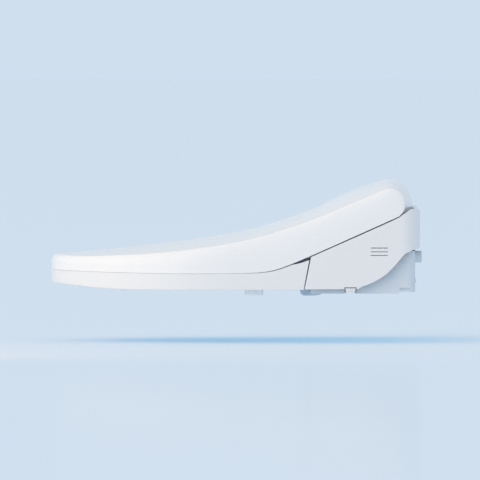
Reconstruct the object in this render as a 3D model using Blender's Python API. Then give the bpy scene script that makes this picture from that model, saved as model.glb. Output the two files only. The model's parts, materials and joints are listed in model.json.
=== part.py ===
"""Electric bidet seat: a fixed unit on a mounting plate, with a heated seat ring and a lid on one hinge axis.

Lengths are in millimetres and become metres when a mesh is made. The origin is the middle of the mounting
plate's underside, which rests on the bowl's deck. +Z is up, the front points to -Y, and +X is the
sitting user's left.
"""

import math

import bmesh
import bpy
from mathutils import Matrix, Vector

MM = 0.001
GAP = 0.3

# Plan
HALF_WIDTH = 190.0
FRONT_Y = -430.0
FRONT_CENTRE_Y = -165.0
FRONT_POWER = 2.15
REAR_Y = 88.0
REAR_CORNER_R = 25.0

# Hinge
AXIS_Y = 47.5
AXIS_Z = 126.5
SHAFT_R = 5.0
BORE_R = 5.5
TROUGH_R = 33.5

# Side profile: the line between lid and seat, which climbs over the unit
SPLIT_LOW_Z = 27.6
SPLIT_SLOPE = 0.4505
SPLIT_KNEE_Y = -118.2
SPLIT_KNEE_SIZE = 20.0
SPLIT_FRONT_RISE = 3.4
SPLIT_GAP = 0.5

# Lid
LID_WALL = 3.0
LID_EDGE = ((-430, 52.0), (-375, 51.4), (-265, 57.6), (-155, 74.0), (-70, 99.8), (0, 128.2), (39.6, 145.4))
LID_CROWN = ((-430, 12.0), (-265, 12.5), (-70, 12.5), (-24, 16.0), (6, 16.0), (39.6, 11.5))
LID_EDGE_R = 6.0
LID_REAR_SIDE_Y = 39.6
CROWN_POWER = 2.5
NOSE_SIDE_R = 20.5
NOSE_CROWN_R = 31.0
NOSE_START = 112.8
NOSE_END = -52.0
NOSE_FOOT_Y = 56.7
NOSE_SWEEP_R = 22.4

# Seat ring
SEAT_WALL = 3.0
SEAT_REAR_Y = -75.0
SEAM_GAP = 0.8
SEAT_BOTTOM_Z = 5.3
SEAT_TIP_LIFT = 8.4
SEAT_CROWN = 3.2
OPENING_CENTRE_Y = -235.0
OPENING_HALF_WIDTH = 105.0
OPENING_HALF_LENGTH = 127.0
OPENING_POWER = 2.2
SEAM_LOW = (-73.4, 7.5)
SEAM_HIGH = (-64.6, 52.2)
NOZZLE_ARCH_RISE = 9.0

# Nozzles, along a line that falls towards the front
NOZZLE_ANGLE = math.radians(25.4)
NOZZLE_TIP_Y = -70.0
NOZZLE_TIP_Z = 4.5
NOZZLE_X = 10.0
NOZZLE_R = 6.0
NOZZLE_LENGTH = 135.0
PINION_TEETH = 12
PINION_R = 6.0
PINION_T = 31.5
RACK_START = 27.0

# Unit
CASING_WALL = 3.0
DECK_DROP = 3.0
PAN_WALL = 2.5
PAN_HALF_X = 176.0
PAN_REAR_Y = 81.3
CHIN_HALF_X = 66.8
VENT_Y = (18.9, 42.8)
VENT_HEIGHTS = (53.7, 58.8, 64.1)
VENT_HALF_HEIGHT = 0.7
RELEASE_NOTCH_Y = (-18.0, -1.0)
RELEASE_NOTCH_TOP = 9.0
SIDE_GROOVE_DEPTH = 1.2
BUTTON_Z = 46.0
BUTTON_R = 7.0
LENS_R = 4.0
AUX_BUTTONS = {"wash": (-22.0, BUTTON_R), "stop": (0.0, BUTTON_R), "lens": (20.0, LENS_R)}
INLET_X = 128.0
INLET_Z = 51.0
DRAIN_X = -134.0
DRAIN_Z = 12.3
GLAND_Y = 64.0
GLAND_Z = 30.0
BLOWER_CENTRE = (32.0, 43.0)

# Mounting plate
PLATE_HALF_X = 100.0
PLATE_HALF_Y = 36.0
PLATE_THICK = 4.0
BOLT_X = 70.0
SLOT_HALF_X = 5.5
SLOT_HALF_Y = 20.0

WHITE = (0.90, 0.91, 0.92)
SHELL_GREY = (0.62, 0.66, 0.71)


def clear_scene():
    for obj in list(bpy.data.objects):
        bpy.data.objects.remove(obj)


def material(name, color, roughness=0.4, metallic=0.0):
    made = bpy.data.materials.get(name)
    if made is None:
        made = bpy.data.materials.new(name)
        made.use_nodes = True
        shader = made.node_tree.nodes["Principled BSDF"]
        shader.inputs["Base Color"].default_value = (*color, 1.0)
        shader.inputs["Roughness"].default_value = roughness
        shader.inputs["Metallic"].default_value = metallic
    return made


def gloss_white():
    return material("gloss_white", WHITE, 0.15)


def inner_grey():
    return material("inner_grey", SHELL_GREY, 0.4)


def matte_white():
    return material("matte_white", (0.80, 0.81, 0.82), 0.5)


def dark_plastic():
    return material("dark_plastic", (0.08, 0.09, 0.10), 0.5)


def soft_rubber():
    return material("soft_rubber", (0.72, 0.74, 0.77), 0.8)


def steel():
    return material("steel", (0.62, 0.63, 0.65), 0.3, 1.0)


def brass():
    return material("brass", (0.72, 0.56, 0.28), 0.35, 1.0)


def green_board():
    return material("green_board", (0.05, 0.28, 0.14), 0.5)


# ---------------------------------------------------------------- meshes


def add_object(name, mesh_data, mat, origin=(0, 0, 0), smooth_angle=35):
    """Makes the object from a bmesh in millimetres, with its origin at a point given in millimetres."""
    bmesh.ops.remove_doubles(mesh_data, verts=mesh_data.verts, dist=0.0005)
    bmesh.ops.dissolve_degenerate(mesh_data, edges=mesh_data.edges, dist=0.0005)
    bmesh.ops.recalc_face_normals(mesh_data, faces=mesh_data.faces)
    mesh_data.transform(Matrix.Scale(MM, 4) @ Matrix.Translation(-Vector(origin)))
    mesh = bpy.data.meshes.new(name)
    mesh_data.to_mesh(mesh)
    mesh_data.free()
    mesh.shade_smooth()
    mesh.set_sharp_from_angle(angle=math.radians(smooth_angle))
    mesh.materials.append(mat)
    obj = bpy.data.objects.new(name, mesh)
    obj.location = Vector(origin) * MM
    bpy.context.scene.collection.objects.link(obj)
    return obj


def from_faces(points, faces):
    made = bmesh.new()
    verts = [made.verts.new(point) for point in points]
    for face in faces:
        corners = [verts[i] for i in face]
        if len({tuple(round(c, 4) for c in v.co) for v in corners}) >= 3:
            made.faces.new(corners)
    return made


def placed(axis, p, q, along):
    """A point from a pair across an axis and a distance along it: (y, z) on x, (x, z) on y, (x, y) on z."""
    return {"x": (along, p, q), "y": (p, along, q), "z": (p, q, along)}[axis]


def extruded(outline, axis, low, high):
    """A prism over an outline of pairs across the axis."""
    return loft([[placed(axis, p, q, along) for p, q in outline] for along in (low, high)], False)


def box(x, y, z):
    return extruded([(x[0], y[0]), (x[1], y[0]), (x[1], y[1]), (x[0], y[1])], "z", z[0], z[1])


def arc(centre, radius, start, end, steps):
    """Points on a circle from one angle to another, in degrees."""
    angles = [math.radians(start + (end - start) * i / steps) for i in range(steps + 1)]
    return [(centre[0] + radius * math.cos(a), centre[1] + radius * math.sin(a)) for a in angles]


def circle(centre, radius, sides=24):
    return arc(centre, radius, 0, 360, sides)[:-1]


def rounded_box_outline(p, q, radius, steps=4):
    corners = ((p[1], q[1], 0), (p[0], q[1], 90), (p[0], q[0], 180), (p[1], q[0], 270))
    outline = []
    for cp, cq, start in corners:
        inner_p = cp - radius if cp == p[1] else cp + radius
        inner_q = cq - radius if cq == q[1] else cq + radius
        outline += arc((inner_p, inner_q), radius, start, start + 90, steps)
    return outline


def toothed_outline(centre, count, corners, start=0.0):
    """Repeats one tooth's corners, as (share of a step, radius) pairs, round a centre."""
    outline = []
    for k in range(count):
        for share, radius in corners:
            a = math.radians(start) + 2 * math.pi * (k + share) / count
            outline.append((centre[0] + radius * math.cos(a), centre[1] + radius * math.sin(a)))
    return outline


def loft(sections, closed):
    """A skin over equal-length closed sections. An open loft gets its two end sections as caps."""
    count = len(sections[0])
    points = [point for section in sections for point in section]
    spans = len(sections) if closed else len(sections) - 1
    faces = []
    for i in range(spans):
        a = i * count
        b = (i + 1) % len(sections) * count
        faces += [[a + k, a + (k + 1) % count, b + (k + 1) % count, b + k] for k in range(count)]
    if not closed:
        faces += [list(range(count)), [len(points) - count + k for k in range(count)]]
    return from_faces(points, faces)


def hidden_cutter(name, mesh_data):
    cutter = add_object(name, mesh_data, matte_white())
    cutter.hide_render = True
    cutter.display_type = "WIRE"
    return cutter


def boolean_with(obj, cutter, operation="DIFFERENCE"):
    cutter.parent = obj
    cutter.matrix_parent_inverse = Matrix.Translation(-obj.location)
    modifier = obj.modifiers.new(operation.lower(), "BOOLEAN")
    modifier.operation = operation
    modifier.solver = "EXACT"
    modifier.object = cutter


def boolean(obj, mesh_data, operation="DIFFERENCE"):
    boolean_with(obj, hidden_cutter(f"{obj.name}_cutter", mesh_data), operation)


def cylinder(name, axis, centre, radius, low, high, mat, origin=(0, 0, 0), sides=24):
    return add_object(name, extruded(circle(centre, radius, sides), axis, low, high), mat, origin)


def tube(name, axis, centre, outer, inner, low, high, mat, origin=(0, 0, 0), sides=24):
    """A cylinder with a bore right through it, as one ring of sections."""
    sections = []
    for out_point, in_point in zip(circle(centre, outer, sides), circle(centre, inner, sides)):
        ends = ((out_point, low), (out_point, high), (in_point, high), (in_point, low))
        sections.append([placed(axis, *point, along) for point, along in ends])
    return add_object(name, loft(sections, True), mat, origin)


# ---------------------------------------------------------------- shared curves


def smooth_curve(points, at):
    """The height at a place along a smooth curve through points, with slopes from each point's neighbours."""
    last = len(points) - 1
    at = min(max(at, points[0][0]), points[-1][0])
    slopes = []
    for i in range(last + 1):
        a = points[max(i - 1, 0)]
        b = points[min(i + 1, last)]
        slopes.append((b[1] - a[1]) / (b[0] - a[0]))
    i = max(k for k in range(last) if points[k][0] <= at)
    (y0, z0), (y1, z1) = points[i], points[i + 1]
    span = y1 - y0
    t = (at - y0) / span
    return (
        z0 * (1 + 2 * t) * (1 - t) ** 2
        + slopes[i] * span * t * (1 - t) ** 2
        + z1 * t * t * (3 - 2 * t)
        + slopes[i + 1] * span * t * t * (t - 1)
    )


def split_z(y):
    """Height of the line between the lid and what is below it."""
    s = y - SPLIT_KNEE_Y
    climb = SPLIT_SLOPE * (s + math.hypot(s, SPLIT_KNEE_SIZE)) / 2
    front = min(max((-250.0 - y) / 180.0, 0.0), 1.0)
    return SPLIT_LOW_Z + climb + SPLIT_FRONT_RISE * front**1.2


def plan_outline(inset, front_steps, sides):
    """(x, y) pairs down the right side, round the front and up the left; sides holds y values, rear first."""
    width = HALF_WIDTH - inset
    depth = FRONT_CENTRE_Y - FRONT_Y - inset
    power = 2 / FRONT_POWER
    outline = [(-width, y) for y in sides]
    for i in range(front_steps + 1):
        a = math.pi * i / front_steps
        x = -math.copysign(abs(math.cos(a)) ** power, math.cos(a)) * width
        outline.append((x, FRONT_CENTRE_Y - depth * abs(math.sin(a)) ** power))
    return outline + [(width, y) for y in reversed(sides)]


def seam_y(z):
    slope = (SEAM_HIGH[0] - SEAM_LOW[0]) / (SEAM_HIGH[1] - SEAM_LOW[1])
    return SEAM_LOW[0] + slope * (z - SEAM_LOW[1])


# ---------------------------------------------------------------- lid


def lid_top(y, v):
    return smooth_curve(LID_EDGE, y) + smooth_curve(LID_CROWN, y) * (1 - v**CROWN_POWER)


def nose_foot(share):
    """(y, z) of the lid's lower edge beside the hinge: on the split line, then round the axis to the end."""
    turn = 0.7
    if share <= turn:
        y = LID_REAR_SIDE_Y + (NOSE_FOOT_Y - LID_REAR_SIDE_Y) * share / turn
        return y, split_z(y) + SPLIT_GAP
    y, z = NOSE_FOOT_Y - AXIS_Y, split_z(NOSE_FOOT_Y) + SPLIT_GAP - AXIS_Z
    start = math.atan2(z, y)
    a = start + (math.radians(NOSE_END) - start) * (share - turn) / (1 - turn)
    r = math.hypot(y, z)
    return AXIS_Y + r * math.cos(a), AXIS_Z + r * math.sin(a)


def nose_radius(v):
    return NOSE_SIDE_R + (NOSE_CROWN_R - NOSE_SIDE_R) * (1 - v**CROWN_POWER)


def lid_rib(kind, where, sign, wall):
    """Points of one rib of the lid, from its lower edge, over the rounded rim and in to the middle."""
    in_steps = (0.92, 0.8, 0.6, 0.4, 0.2, 0.0)
    width = HALF_WIDTH - wall
    if kind == "front":
        foot = (*where, split_z(where[1]) + SPLIT_GAP)
        reach = math.hypot(where[0], where[1] - FRONT_CENTRE_Y)

        def top(v):
            y = FRONT_CENTRE_Y + (where[1] - FRONT_CENTRE_Y) * v
            return Vector((where[0] * v, y, lid_top(y, v) - wall))
    elif kind == "side":
        foot = (sign * width, where, split_z(where) + SPLIT_GAP)
        reach = width

        def top(v):
            return Vector((sign * width * v, where, lid_top(where, v) - wall))
    else:
        share = (NOSE_START - where) / (NOSE_START - NOSE_END)
        foot = (sign * width, *nose_foot(share))
        reach = width
        a = math.radians(where)

        def top(v):
            r = nose_radius(v) - wall
            return Vector((sign * width * v, AXIS_Y + r * math.cos(a), AXIS_Z + r * math.sin(a)))

    foot = Vector(foot)
    rise = top(1.0) - foot
    radius = min(max(LID_EDGE_R - wall, 1.0), 0.45 * rise.length)
    down = rise.normalized() if rise.length > 0.01 else Vector((0, 0, 1))
    rib = [foot]
    for beta in (0, 30, 60):
        b = math.radians(beta)
        rib.append(top(1 - radius * (1 - math.cos(b)) / reach) - down * radius * (1 - math.sin(b)))
    rib.append(top(1 - radius / reach))
    return rib + [top(v) for v in in_steps]


def lid_stations(wall):
    sides = (LID_REAR_SIDE_Y, 20.0, -5.0, -40.0, -75.0, -110.0, -140.0)
    nose = [NOSE_END + (NOSE_START - NOSE_END) * i / 9 for i in range(9)]
    front = plan_outline(wall, 18, ())
    stations = [("nose", a, -1) for a in nose] + [("side", y, -1) for y in sides]
    stations += [("front", point, 0) for point in front]
    stations += [("side", y, 1) for y in reversed(sides)] + [("nose", a, 1) for a in reversed(nose)]
    return [lid_rib(kind, where, sign, wall) for kind, where, sign in stations]


def lid_shell():
    outer = lid_stations(0.0)
    inner = lid_stations(LID_WALL)
    sections = [rib_out + rib_in[::-1] for rib_out, rib_in in zip(outer, inner)]
    count = len(sections[0])
    half = count // 2
    points = [point for section in sections for point in section]
    faces = []
    for i in range(len(sections) - 1):
        a = i * count
        b = a + count
        steps = [k for k in range(count) if k != half - 1]
        faces += [[a + k, a + (k + 1) % count, b + (k + 1) % count, b + k] for k in steps]
    for base in (0, (len(sections) - 1) * count):
        last = base + count - 1
        faces += [[base + k, base + k + 1, last - 1 - k, last - k] for k in range(half - 1)]
    add_object("lid_shell", from_faces(points, faces), gloss_white(), (0, AXIS_Y, AXIS_Z))


def lid_fittings():
    axis = (AXIS_Y, AXIS_Z)
    origin = (0, AXIS_Y, AXIS_Z)
    stop_y = -380.0
    stop_low = split_z(stop_y) + SEAT_CROWN + 1.2
    for side, sign, bore in (("left", 1, BORE_R), ("right", -1, SHAFT_R + GAP)):
        low, high = sorted((sign * 174.0, sign * (HALF_WIDTH - LID_WALL - GAP)))
        tube(f"lid_bush_{side}", "x", axis, 12, bore, low, high, matte_white(), origin)
        stop = extruded(circle((sign * 70, stop_y), 6, 16), "z", stop_low, 46.0)
        add_object(f"lid_stop_{side}", stop, soft_rubber(), origin)
    cylinder("lid_damper_shaft", "x", axis, SHAFT_R, -186, -92, steel(), origin)


# ---------------------------------------------------------------- seat


def seat_outline():
    """Outer (x, y) points round the ring and the matching ones of its opening, from the rear right corner."""
    outer = plan_outline(0.0, 26, [SEAT_REAR_Y, -110.0, -140.0])
    outer += [(HALF_WIDTH * (1 - 2 * i / 12), SEAT_REAR_Y) for i in range(1, 12)]
    inner = []
    for x, y in outer:
        a = math.atan2(y - OPENING_CENTRE_Y, x)
        c = abs(math.cos(a)) / OPENING_HALF_WIDTH
        s = abs(math.sin(a)) / OPENING_HALF_LENGTH
        r = (c**OPENING_POWER + s**OPENING_POWER) ** (-1 / OPENING_POWER)
        inner.append((r * math.cos(a), OPENING_CENTRE_Y + r * math.sin(a)))
    return outer, inner


def seat_bottom(x, y):
    """Underside height: it lifts at the front tip, and arches over the nozzles at the rear."""
    tip = min(max((-320.0 - y) / 110.0, 0.0), 1.0)
    across = max(0.0, 1 - (abs(x) / 75.0) ** 2)
    along = min(max((y + 125.0) / 25.0, 0.0), 1.0)
    return SEAT_BOTTOM_Z + SEAT_TIP_LIFT * tip**1.4 + NOZZLE_ARCH_RISE * min(1.0, 2 * across) * along


def seat_top(y, w):
    """Top height: w goes from 0 at the outer edge to 1 at the opening."""
    rise = SEAT_CROWN * math.sin(math.pi * min(w / 0.5, 1.0) / 2)
    dip = 9.0 * max(0.0, (w - 0.5) / 0.5) ** 2.2
    return split_z(y) - SPLIT_GAP + rise - dip


def seat_point(out_point, in_point, w, z):
    """A point of the ring; its rear end follows the slanted seam with the unit."""
    x = out_point[0] + (in_point[0] - out_point[0]) * w
    y = out_point[1] + (in_point[1] - out_point[1]) * w
    if out_point[1] > -90.0:
        near = min(max((y + 110.0) / 30.0, 0.0), 1.0)
        y += (seam_y(z) - SEAM_GAP - SEAT_REAR_Y) * near
    return (x, y, z)


def seat_section(out_point, in_point, wall):
    """One cross-section, this far inside the surface: up the outer side, over the top, down the opening."""
    reach = math.dist(out_point, in_point)
    start = wall / reach
    end = 1 - start
    rim = 4.0 / reach
    outer_rim = [(start, 1.2), (start + rim * 0.4, 0.3), (start + rim, 0.0)]
    inner_rim = [(end - rim, 0.5), (end, 4.5)]
    section = [seat_point(out_point, in_point, start, seat_bottom(*out_point))]
    for w, drop in outer_rim + [(0.3, 0.0), (0.55, 0.0), (0.8, 0.0)] + inner_rim:
        y = out_point[1] + (in_point[1] - out_point[1]) * w
        section.append(seat_point(out_point, in_point, w, seat_top(y, w) - wall - drop))
    section.append(seat_point(out_point, in_point, end, seat_bottom(*in_point)))
    return section


def seat_ring():
    shell = []
    plate = []
    foil = []
    for out_point, in_point in zip(*seat_outline()):
        outside = seat_section(out_point, in_point, 0.0)
        inside = seat_section(out_point, in_point, SEAT_WALL)
        shell.append(outside + inside[::-1])
        reach = math.dist(out_point, in_point)
        edge = (SEAT_WALL + GAP) / reach
        low = seat_bottom(*out_point) + 2.0
        low_in = seat_bottom(*in_point) + 2.0
        corners = ((edge, low), (edge, low + 2.2), (1 - edge, low_in + 2.2), (1 - edge, low_in))
        plate.append([seat_point(out_point, in_point, w, z) for w, z in corners])
        strip = []
        for w, depth in ((0.3, 2.6), (0.55, 2.6), (0.8, 2.6), (0.8, 3.2), (0.55, 3.2), (0.3, 3.2)):
            y = out_point[1] + (in_point[1] - out_point[1]) * w
            strip.append(seat_point(out_point, in_point, w, seat_top(y, w) - SEAT_WALL - depth))
        foil.append(strip)
    origin = (0, AXIS_Y, AXIS_Z)
    add_object("seat_top_shell", loft(shell, True), gloss_white(), origin)
    add_object("seat_base_plate", loft(plate, True), matte_white(), origin)
    add_object("seat_heater_foil", loft(foil, True), steel(), origin)


def seat_arms():
    """Two arms lie along the shoulder under the lid and carry the ring on the hinge axis."""
    low, high = 3.7, 19.0
    axis = (AXIS_Y, AXIS_Z)
    lower = [(20.5, 121.0), (16.5, 118.3)]
    lower += [(y, split_z(y) + low) for y in (6.0, -40.0, -70.0, -80.0, -90.0)]
    upper = [(y, split_z(y) + low + (high - low) * (y + 94.0) / 24.0) for y in (-90.0, -70.0)]
    upper += [(-40.0, split_z(-40.0) + high), (-5.0, 108.0), (20.5, 134.0)]
    outline = lower + upper + arc(axis, 13, 120, -152, 12)
    for side, sign, bore in (("left", 1, SHAFT_R + GAP), ("right", -1, BORE_R)):
        x0, x1 = sorted((sign * 150.0, sign * 171.0))
        arm = add_object(f"seat_arm_{side}", extruded(outline, "x", x0, x1), matte_white(), (0, *axis))
        boolean(arm, extruded(circle(axis, bore), "x", x0 - 1, x1 + 1))
    cylinder("seat_damper_shaft", "x", axis, SHAFT_R, 92, 186, steel(), (0, *axis))


def seat_bumpers():
    for side, sign in (("left", 1), ("right", -1)):
        for place, y0, y1, x, half_x, bottom in (
            ("rear", -157.3, -131.4, 163.0, 9.0, -2.3),
            ("front", -334.0, -319.0, 116.0, 9.0, 3.9),
        ):
            top = seat_bottom(x, (y0 + y1) / 2) + 2.0 - GAP
            sections = []
            for z, shrink in ((bottom, 1.6), (bottom + 1.2, 0.4), (top, 0.0)):
                p = (sign * x - half_x + shrink, sign * x + half_x - shrink)
                outline = rounded_box_outline(p, (y0 + shrink, y1 - shrink), 5.0, 3)
                sections.append([(a, b, z) for a, b in outline])
            bumper = loft(sections, False)
            add_object(f"seat_bumper_{place}_{side}", bumper, soft_rubber(), (0, AXIS_Y, AXIS_Z))


# ---------------------------------------------------------------- unit shells


def circle_from_line(radius, offset):
    """Where the deck line, this far below the split line, meets a circle about the hinge axis."""
    y = AXIS_Y - radius
    while math.hypot(y - AXIS_Y, split_z(y) - offset - AXIS_Z) > radius:
        y += 0.1
    return y, split_z(y) - offset


def deck_profile(offset, radius, end_angle):
    """The shoulder line and then the trough round the hinge, from the front to the rear."""
    y, z = circle_from_line(radius, offset)
    start = math.degrees(math.atan2(z - AXIS_Z, y - AXIS_Y)) % 360
    line = [(at, split_z(at) - offset) for at in (-66.0, -50.0, -30.0)]
    return line + arc((AXIS_Y, AXIS_Z), radius, start, 360 + end_angle, 12)


def unit_plan(inset, front_y):
    width = HALF_WIDTH - inset
    radius = REAR_CORNER_R - inset
    rear = REAR_Y - inset
    outline = [(-width, front_y), (width, front_y)]
    outline += arc((width - radius, rear - radius), radius, 0, 90, 6)
    outline += arc((radius - width, rear - radius), radius, 90, 180, 6)
    return outline


def casing_side_profile():
    """Outline of the casing's side: split line, bend round the lid's end, rear, and lower rear cut-away."""
    line = [(y, split_z(y) - 0.8) for y in (SEAM_HIGH[0], -50.0, -30.0, 0.0, 30.0)]
    bend = arc((AXIS_Y, AXIS_Z), NOSE_SWEEP_R, 294.0, 314.0, 3)
    rear = [(75.0, 118.5), (84.0, 119.0), (87.0, 117.5), (88.0, 113.0), (88.0, 63.5)]
    cut_away = [(79.0, 61.5), (72.0, 58.5), (64.6, 53.4), (52.0, 38.8), (38.3, 25.8), (22.0, 16.0)]
    return line + bend + rear + cut_away + [(6.8, 10.2), (2.0, 6.8), (-72.6, 6.2), SEAM_LOW]


def casing_hollow():
    """Cutter for the room inside the casing, a wall's thickness in from the outside and below the deck."""
    wall = CASING_WALL
    inner = [(-76.0, -20.0), (-76.0, 1.0), (-70.2, 7.5), (-62.4, split_z(-62.4) - DECK_DROP - wall)]
    inner += deck_profile(DECK_DROP + wall, TROUGH_R + wall, -19.0)[1:]
    inner += [(REAR_Y - wall, 110.0), (REAR_Y - wall, -20.0)]
    half_x = HALF_WIDTH - wall
    hollow = hidden_cutter("casing_hollow", extruded(inner, "x", -half_x, half_x))
    boolean(hollow, extruded(unit_plan(wall, -120), "z", -30, 150), "INTERSECT")
    return hollow


def casing_recess():
    """Cutter for the deck and trough under the lid, inside the casing's side walls."""
    recess = deck_profile(DECK_DROP, TROUGH_R, -13.0)
    recess = [(-100.0, recess[0][1])] + recess + [(recess[-1][0], 160.0), (-100.0, 160.0)]
    half_x = HALF_WIDTH - CASING_WALL - 0.4
    deck = hidden_cutter("casing_recess", extruded(recess, "x", -half_x, half_x))
    boolean(deck, extruded(unit_plan(CASING_WALL + 0.4, -120), "z", -30, 170), "INTERSECT")
    return deck


def upper_casing():
    block = extruded(casing_side_profile(), "x", -HALF_WIDTH, HALF_WIDTH)
    casing = add_object("upper_casing", block, gloss_white())
    boolean(casing, extruded(unit_plan(0.0, -120), "z", -20, 140), "INTERSECT")
    boolean_with(casing, casing_hollow())
    boolean_with(casing, casing_recess())
    chin_half_x = CHIN_HALF_X + 0.6
    boolean(casing, box((-chin_half_x, chin_half_x), (-90, -46), (-20, 21.6)))
    boolean(casing, box((170, 200), RELEASE_NOTCH_Y, (-20, RELEASE_NOTCH_TOP)))
    for z in VENT_HEIGHTS:
        slot = rounded_box_outline(VENT_Y, (z - VENT_HALF_HEIGHT, z + VENT_HALF_HEIGHT), 0.65, 3)
        boolean(casing, extruded(slot, "x", 180, 200))
    for y, radius in AUX_BUTTONS.values():
        boolean(casing, extruded(circle((y, BUTTON_Z), radius + 0.4), "x", -200, -180))


def pan_plan(inset, front_y):
    radius = 12.0 - inset
    side = PAN_HALF_X - inset
    rear = PAN_REAR_Y - inset
    outline = [(-side, front_y), (side, front_y)]
    outline += arc((side - radius, rear - radius), radius, 0, 90, 4)
    return outline + arc((radius - side, rear - radius), radius, 90, 180, 4)


def base_pan():
    """The lower shell: it sits over the mounting plate and closes the unit below and behind."""
    wall = PAN_WALL
    rear = PAN_REAR_Y
    side = [(-65.0, 0), (58.0, 0), (60.0, 2.2), (rear, 2.2)]
    side += [(rear, 60.0), (8.0, 60.0), (-48.0, 28.0), (-65.0, 28.0)]
    pan = add_object("base_pan", extruded(side, "x", -PAN_HALF_X, PAN_HALF_X), inner_grey())
    boolean(pan, extruded(pan_plan(0.0, -66), "z", -20, 80), "INTERSECT")
    floor = [(-62.5, wall), (-44.0, wall), (-44.0, 7.0), (40.0, 7.0), (40.0, wall), (56.0, wall), (58.0, 4.7)]
    floor += [(rear - wall, 4.7), (rear - wall, 90), (-62.5, 90)]
    hollow = hidden_cutter("pan_hollow", extruded(floor, "x", wall - PAN_HALF_X, PAN_HALF_X - wall))
    boolean(hollow, extruded(pan_plan(wall, -67), "z", -30, 100), "INTERSECT")
    boolean_with(pan, hollow)
    chin_half_x = CHIN_HALF_X + 0.8
    boolean(pan, box((-chin_half_x, chin_half_x), (-90, -46), (-20, 40)))
    plate_x, plate_y = PLATE_HALF_X + 0.6, PLATE_HALF_Y + 0.6
    boolean(pan, box((-plate_x, plate_x), (-plate_y, plate_y), (-5, PLATE_THICK + GAP)))
    boolean(pan, box((138, 190), RELEASE_NOTCH_Y, (-5, RELEASE_NOTCH_TOP - GAP)))
    for sign in (1, -1):
        x0, x1 = sorted((sign * (PAN_HALF_X - SIDE_GROOVE_DEPTH), sign * (PAN_HALF_X + 4)))
        boolean(pan, box((x0, x1), (60.5, 95.0), (4.4, 8.5)))
    boolean(pan, extruded(circle((INLET_X, INLET_Z), 7.4), "y", 70, 90))
    boolean(pan, extruded(circle((DRAIN_X, DRAIN_Z), 3.4, 16), "y", 70, 90))
    boolean(pan, extruded(circle((GLAND_Y, GLAND_Z), 5.4), "x", -190, -165))


def nozzle_housing():
    """The chin below the deck's front, with an open bay for the nozzles and a duct for dry air."""
    front = [(-80.3, 4.7), (-80.3, 4.0), (-79.0, -0.5), (-77.4, -3.4), (-75.0, -4.7), (-73.1, -5.0)]
    back = [(-61.2, -5.0), (-51.2, -3.6), (-47.0, -0.5), (-46.6, 3.0), (-46.6, 20.8)]
    outline = front + back + [(-70.0, 20.8), (-72.8, 6.0), (-73.2, 4.7)]
    chin = add_object("nozzle_housing", extruded(outline, "x", -CHIN_HALF_X, CHIN_HALF_X), inner_grey())
    bay = [(-64.0, 0.0), (-77.5, -6.6), (-90.0, -6.6), (-90.0, 40.0), (-40.0, 40.0), (-40.0, 9.0)]
    boolean(chin, extruded(bay, "x", -19.0, 19.0))
    duct = [(-90, -3.0), (-90, 3.7), (-70.5, 3.7), (-66.0, 17.8)]
    duct += [(-40, 17.8), (-40, 3.0), (-66.0, 3.0), (-71.0, -3.0)]
    boolean(chin, extruded(duct, "x", 27.0, 59.0))


def mounting_plate():
    outline = rounded_box_outline((-PLATE_HALF_X, PLATE_HALF_X), (-PLATE_HALF_Y, PLATE_HALF_Y), 8.0)
    plate = add_object("mounting_plate", extruded(outline, "z", 0, PLATE_THICK), matte_white())
    for side, sign in (("left", 1), ("right", -1)):
        x = sign * BOLT_X
        slot = rounded_box_outline((x - SLOT_HALF_X, x + SLOT_HALF_X), (-SLOT_HALF_Y, SLOT_HALF_Y), 2.0, 2)
        boolean(plate, extruded(slot, "z", -2, PLATE_THICK + 2))
        slider = rounded_box_outline((x - SLOT_HALF_X + GAP, x + SLOT_HALF_X - GAP), (-9, 9), 1.6, 2)
        adjuster = add_object(f"bolt_adjuster_{side}", extruded(slider, "z", 0.4, PLATE_THICK - 0.2), steel())
        boolean(adjuster, extruded(circle((x, 0), 3.3, 16), "z", -2, 8))


def hinge_brackets():
    """Each bracket leans back, clear of the turning end of the lid, and holds a damper on the hinge axis."""
    axis = (AXIS_Y, AXIS_Z)
    foot_z = -2.6
    boss = arc(axis, 16.0, 118, -146, 12)
    foot = [(y, split_z(y) + foot_z) for y in (-20.0, 10.0)]
    neck = [(15.5, 110.0), (16.3, 118.0), (20.5, 120.3)]
    outline = foot + neck + boss[::-1] + [(20.0, 138.0), (-10.0, 110.0)]
    for side, sign, name in (("left", 1, "seat_damper_housing"), ("right", -1, "lid_damper_housing")):
        x0, x1 = sorted((sign * 104.0, sign * 132.0))
        bracket = add_object(f"hinge_bracket_{side}", extruded(outline, "x", x0, x1), matte_white())
        boolean(bracket, extruded(circle(axis, 12.3), "x", x0 - 1, x1 + 1))
        low, high = sorted((sign * 86.0, sign * 147.0))
        housing = cylinder(name, "x", axis, 12.0, low, high, dark_plastic())
        bore_low, bore_high = sorted((sign * 90.0, sign * 150.0))
        boolean(housing, extruded(circle(axis, BORE_R), "x", bore_low, bore_high))


# ---------------------------------------------------------------- nozzles


def nozzle_line():
    """Turns (x, along the nozzles, across them), measured from their tips, into x, y and z."""
    return Matrix.Translation((0, NOZZLE_TIP_Y, NOZZLE_TIP_Z)) @ Matrix.Rotation(NOZZLE_ANGLE, 4, "X")


def on_nozzle_line(mesh_data):
    mesh_data.transform(nozzle_line())
    return mesh_data


def line_point(x, along, across):
    return nozzle_line() @ Vector((x, along, across))


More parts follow.
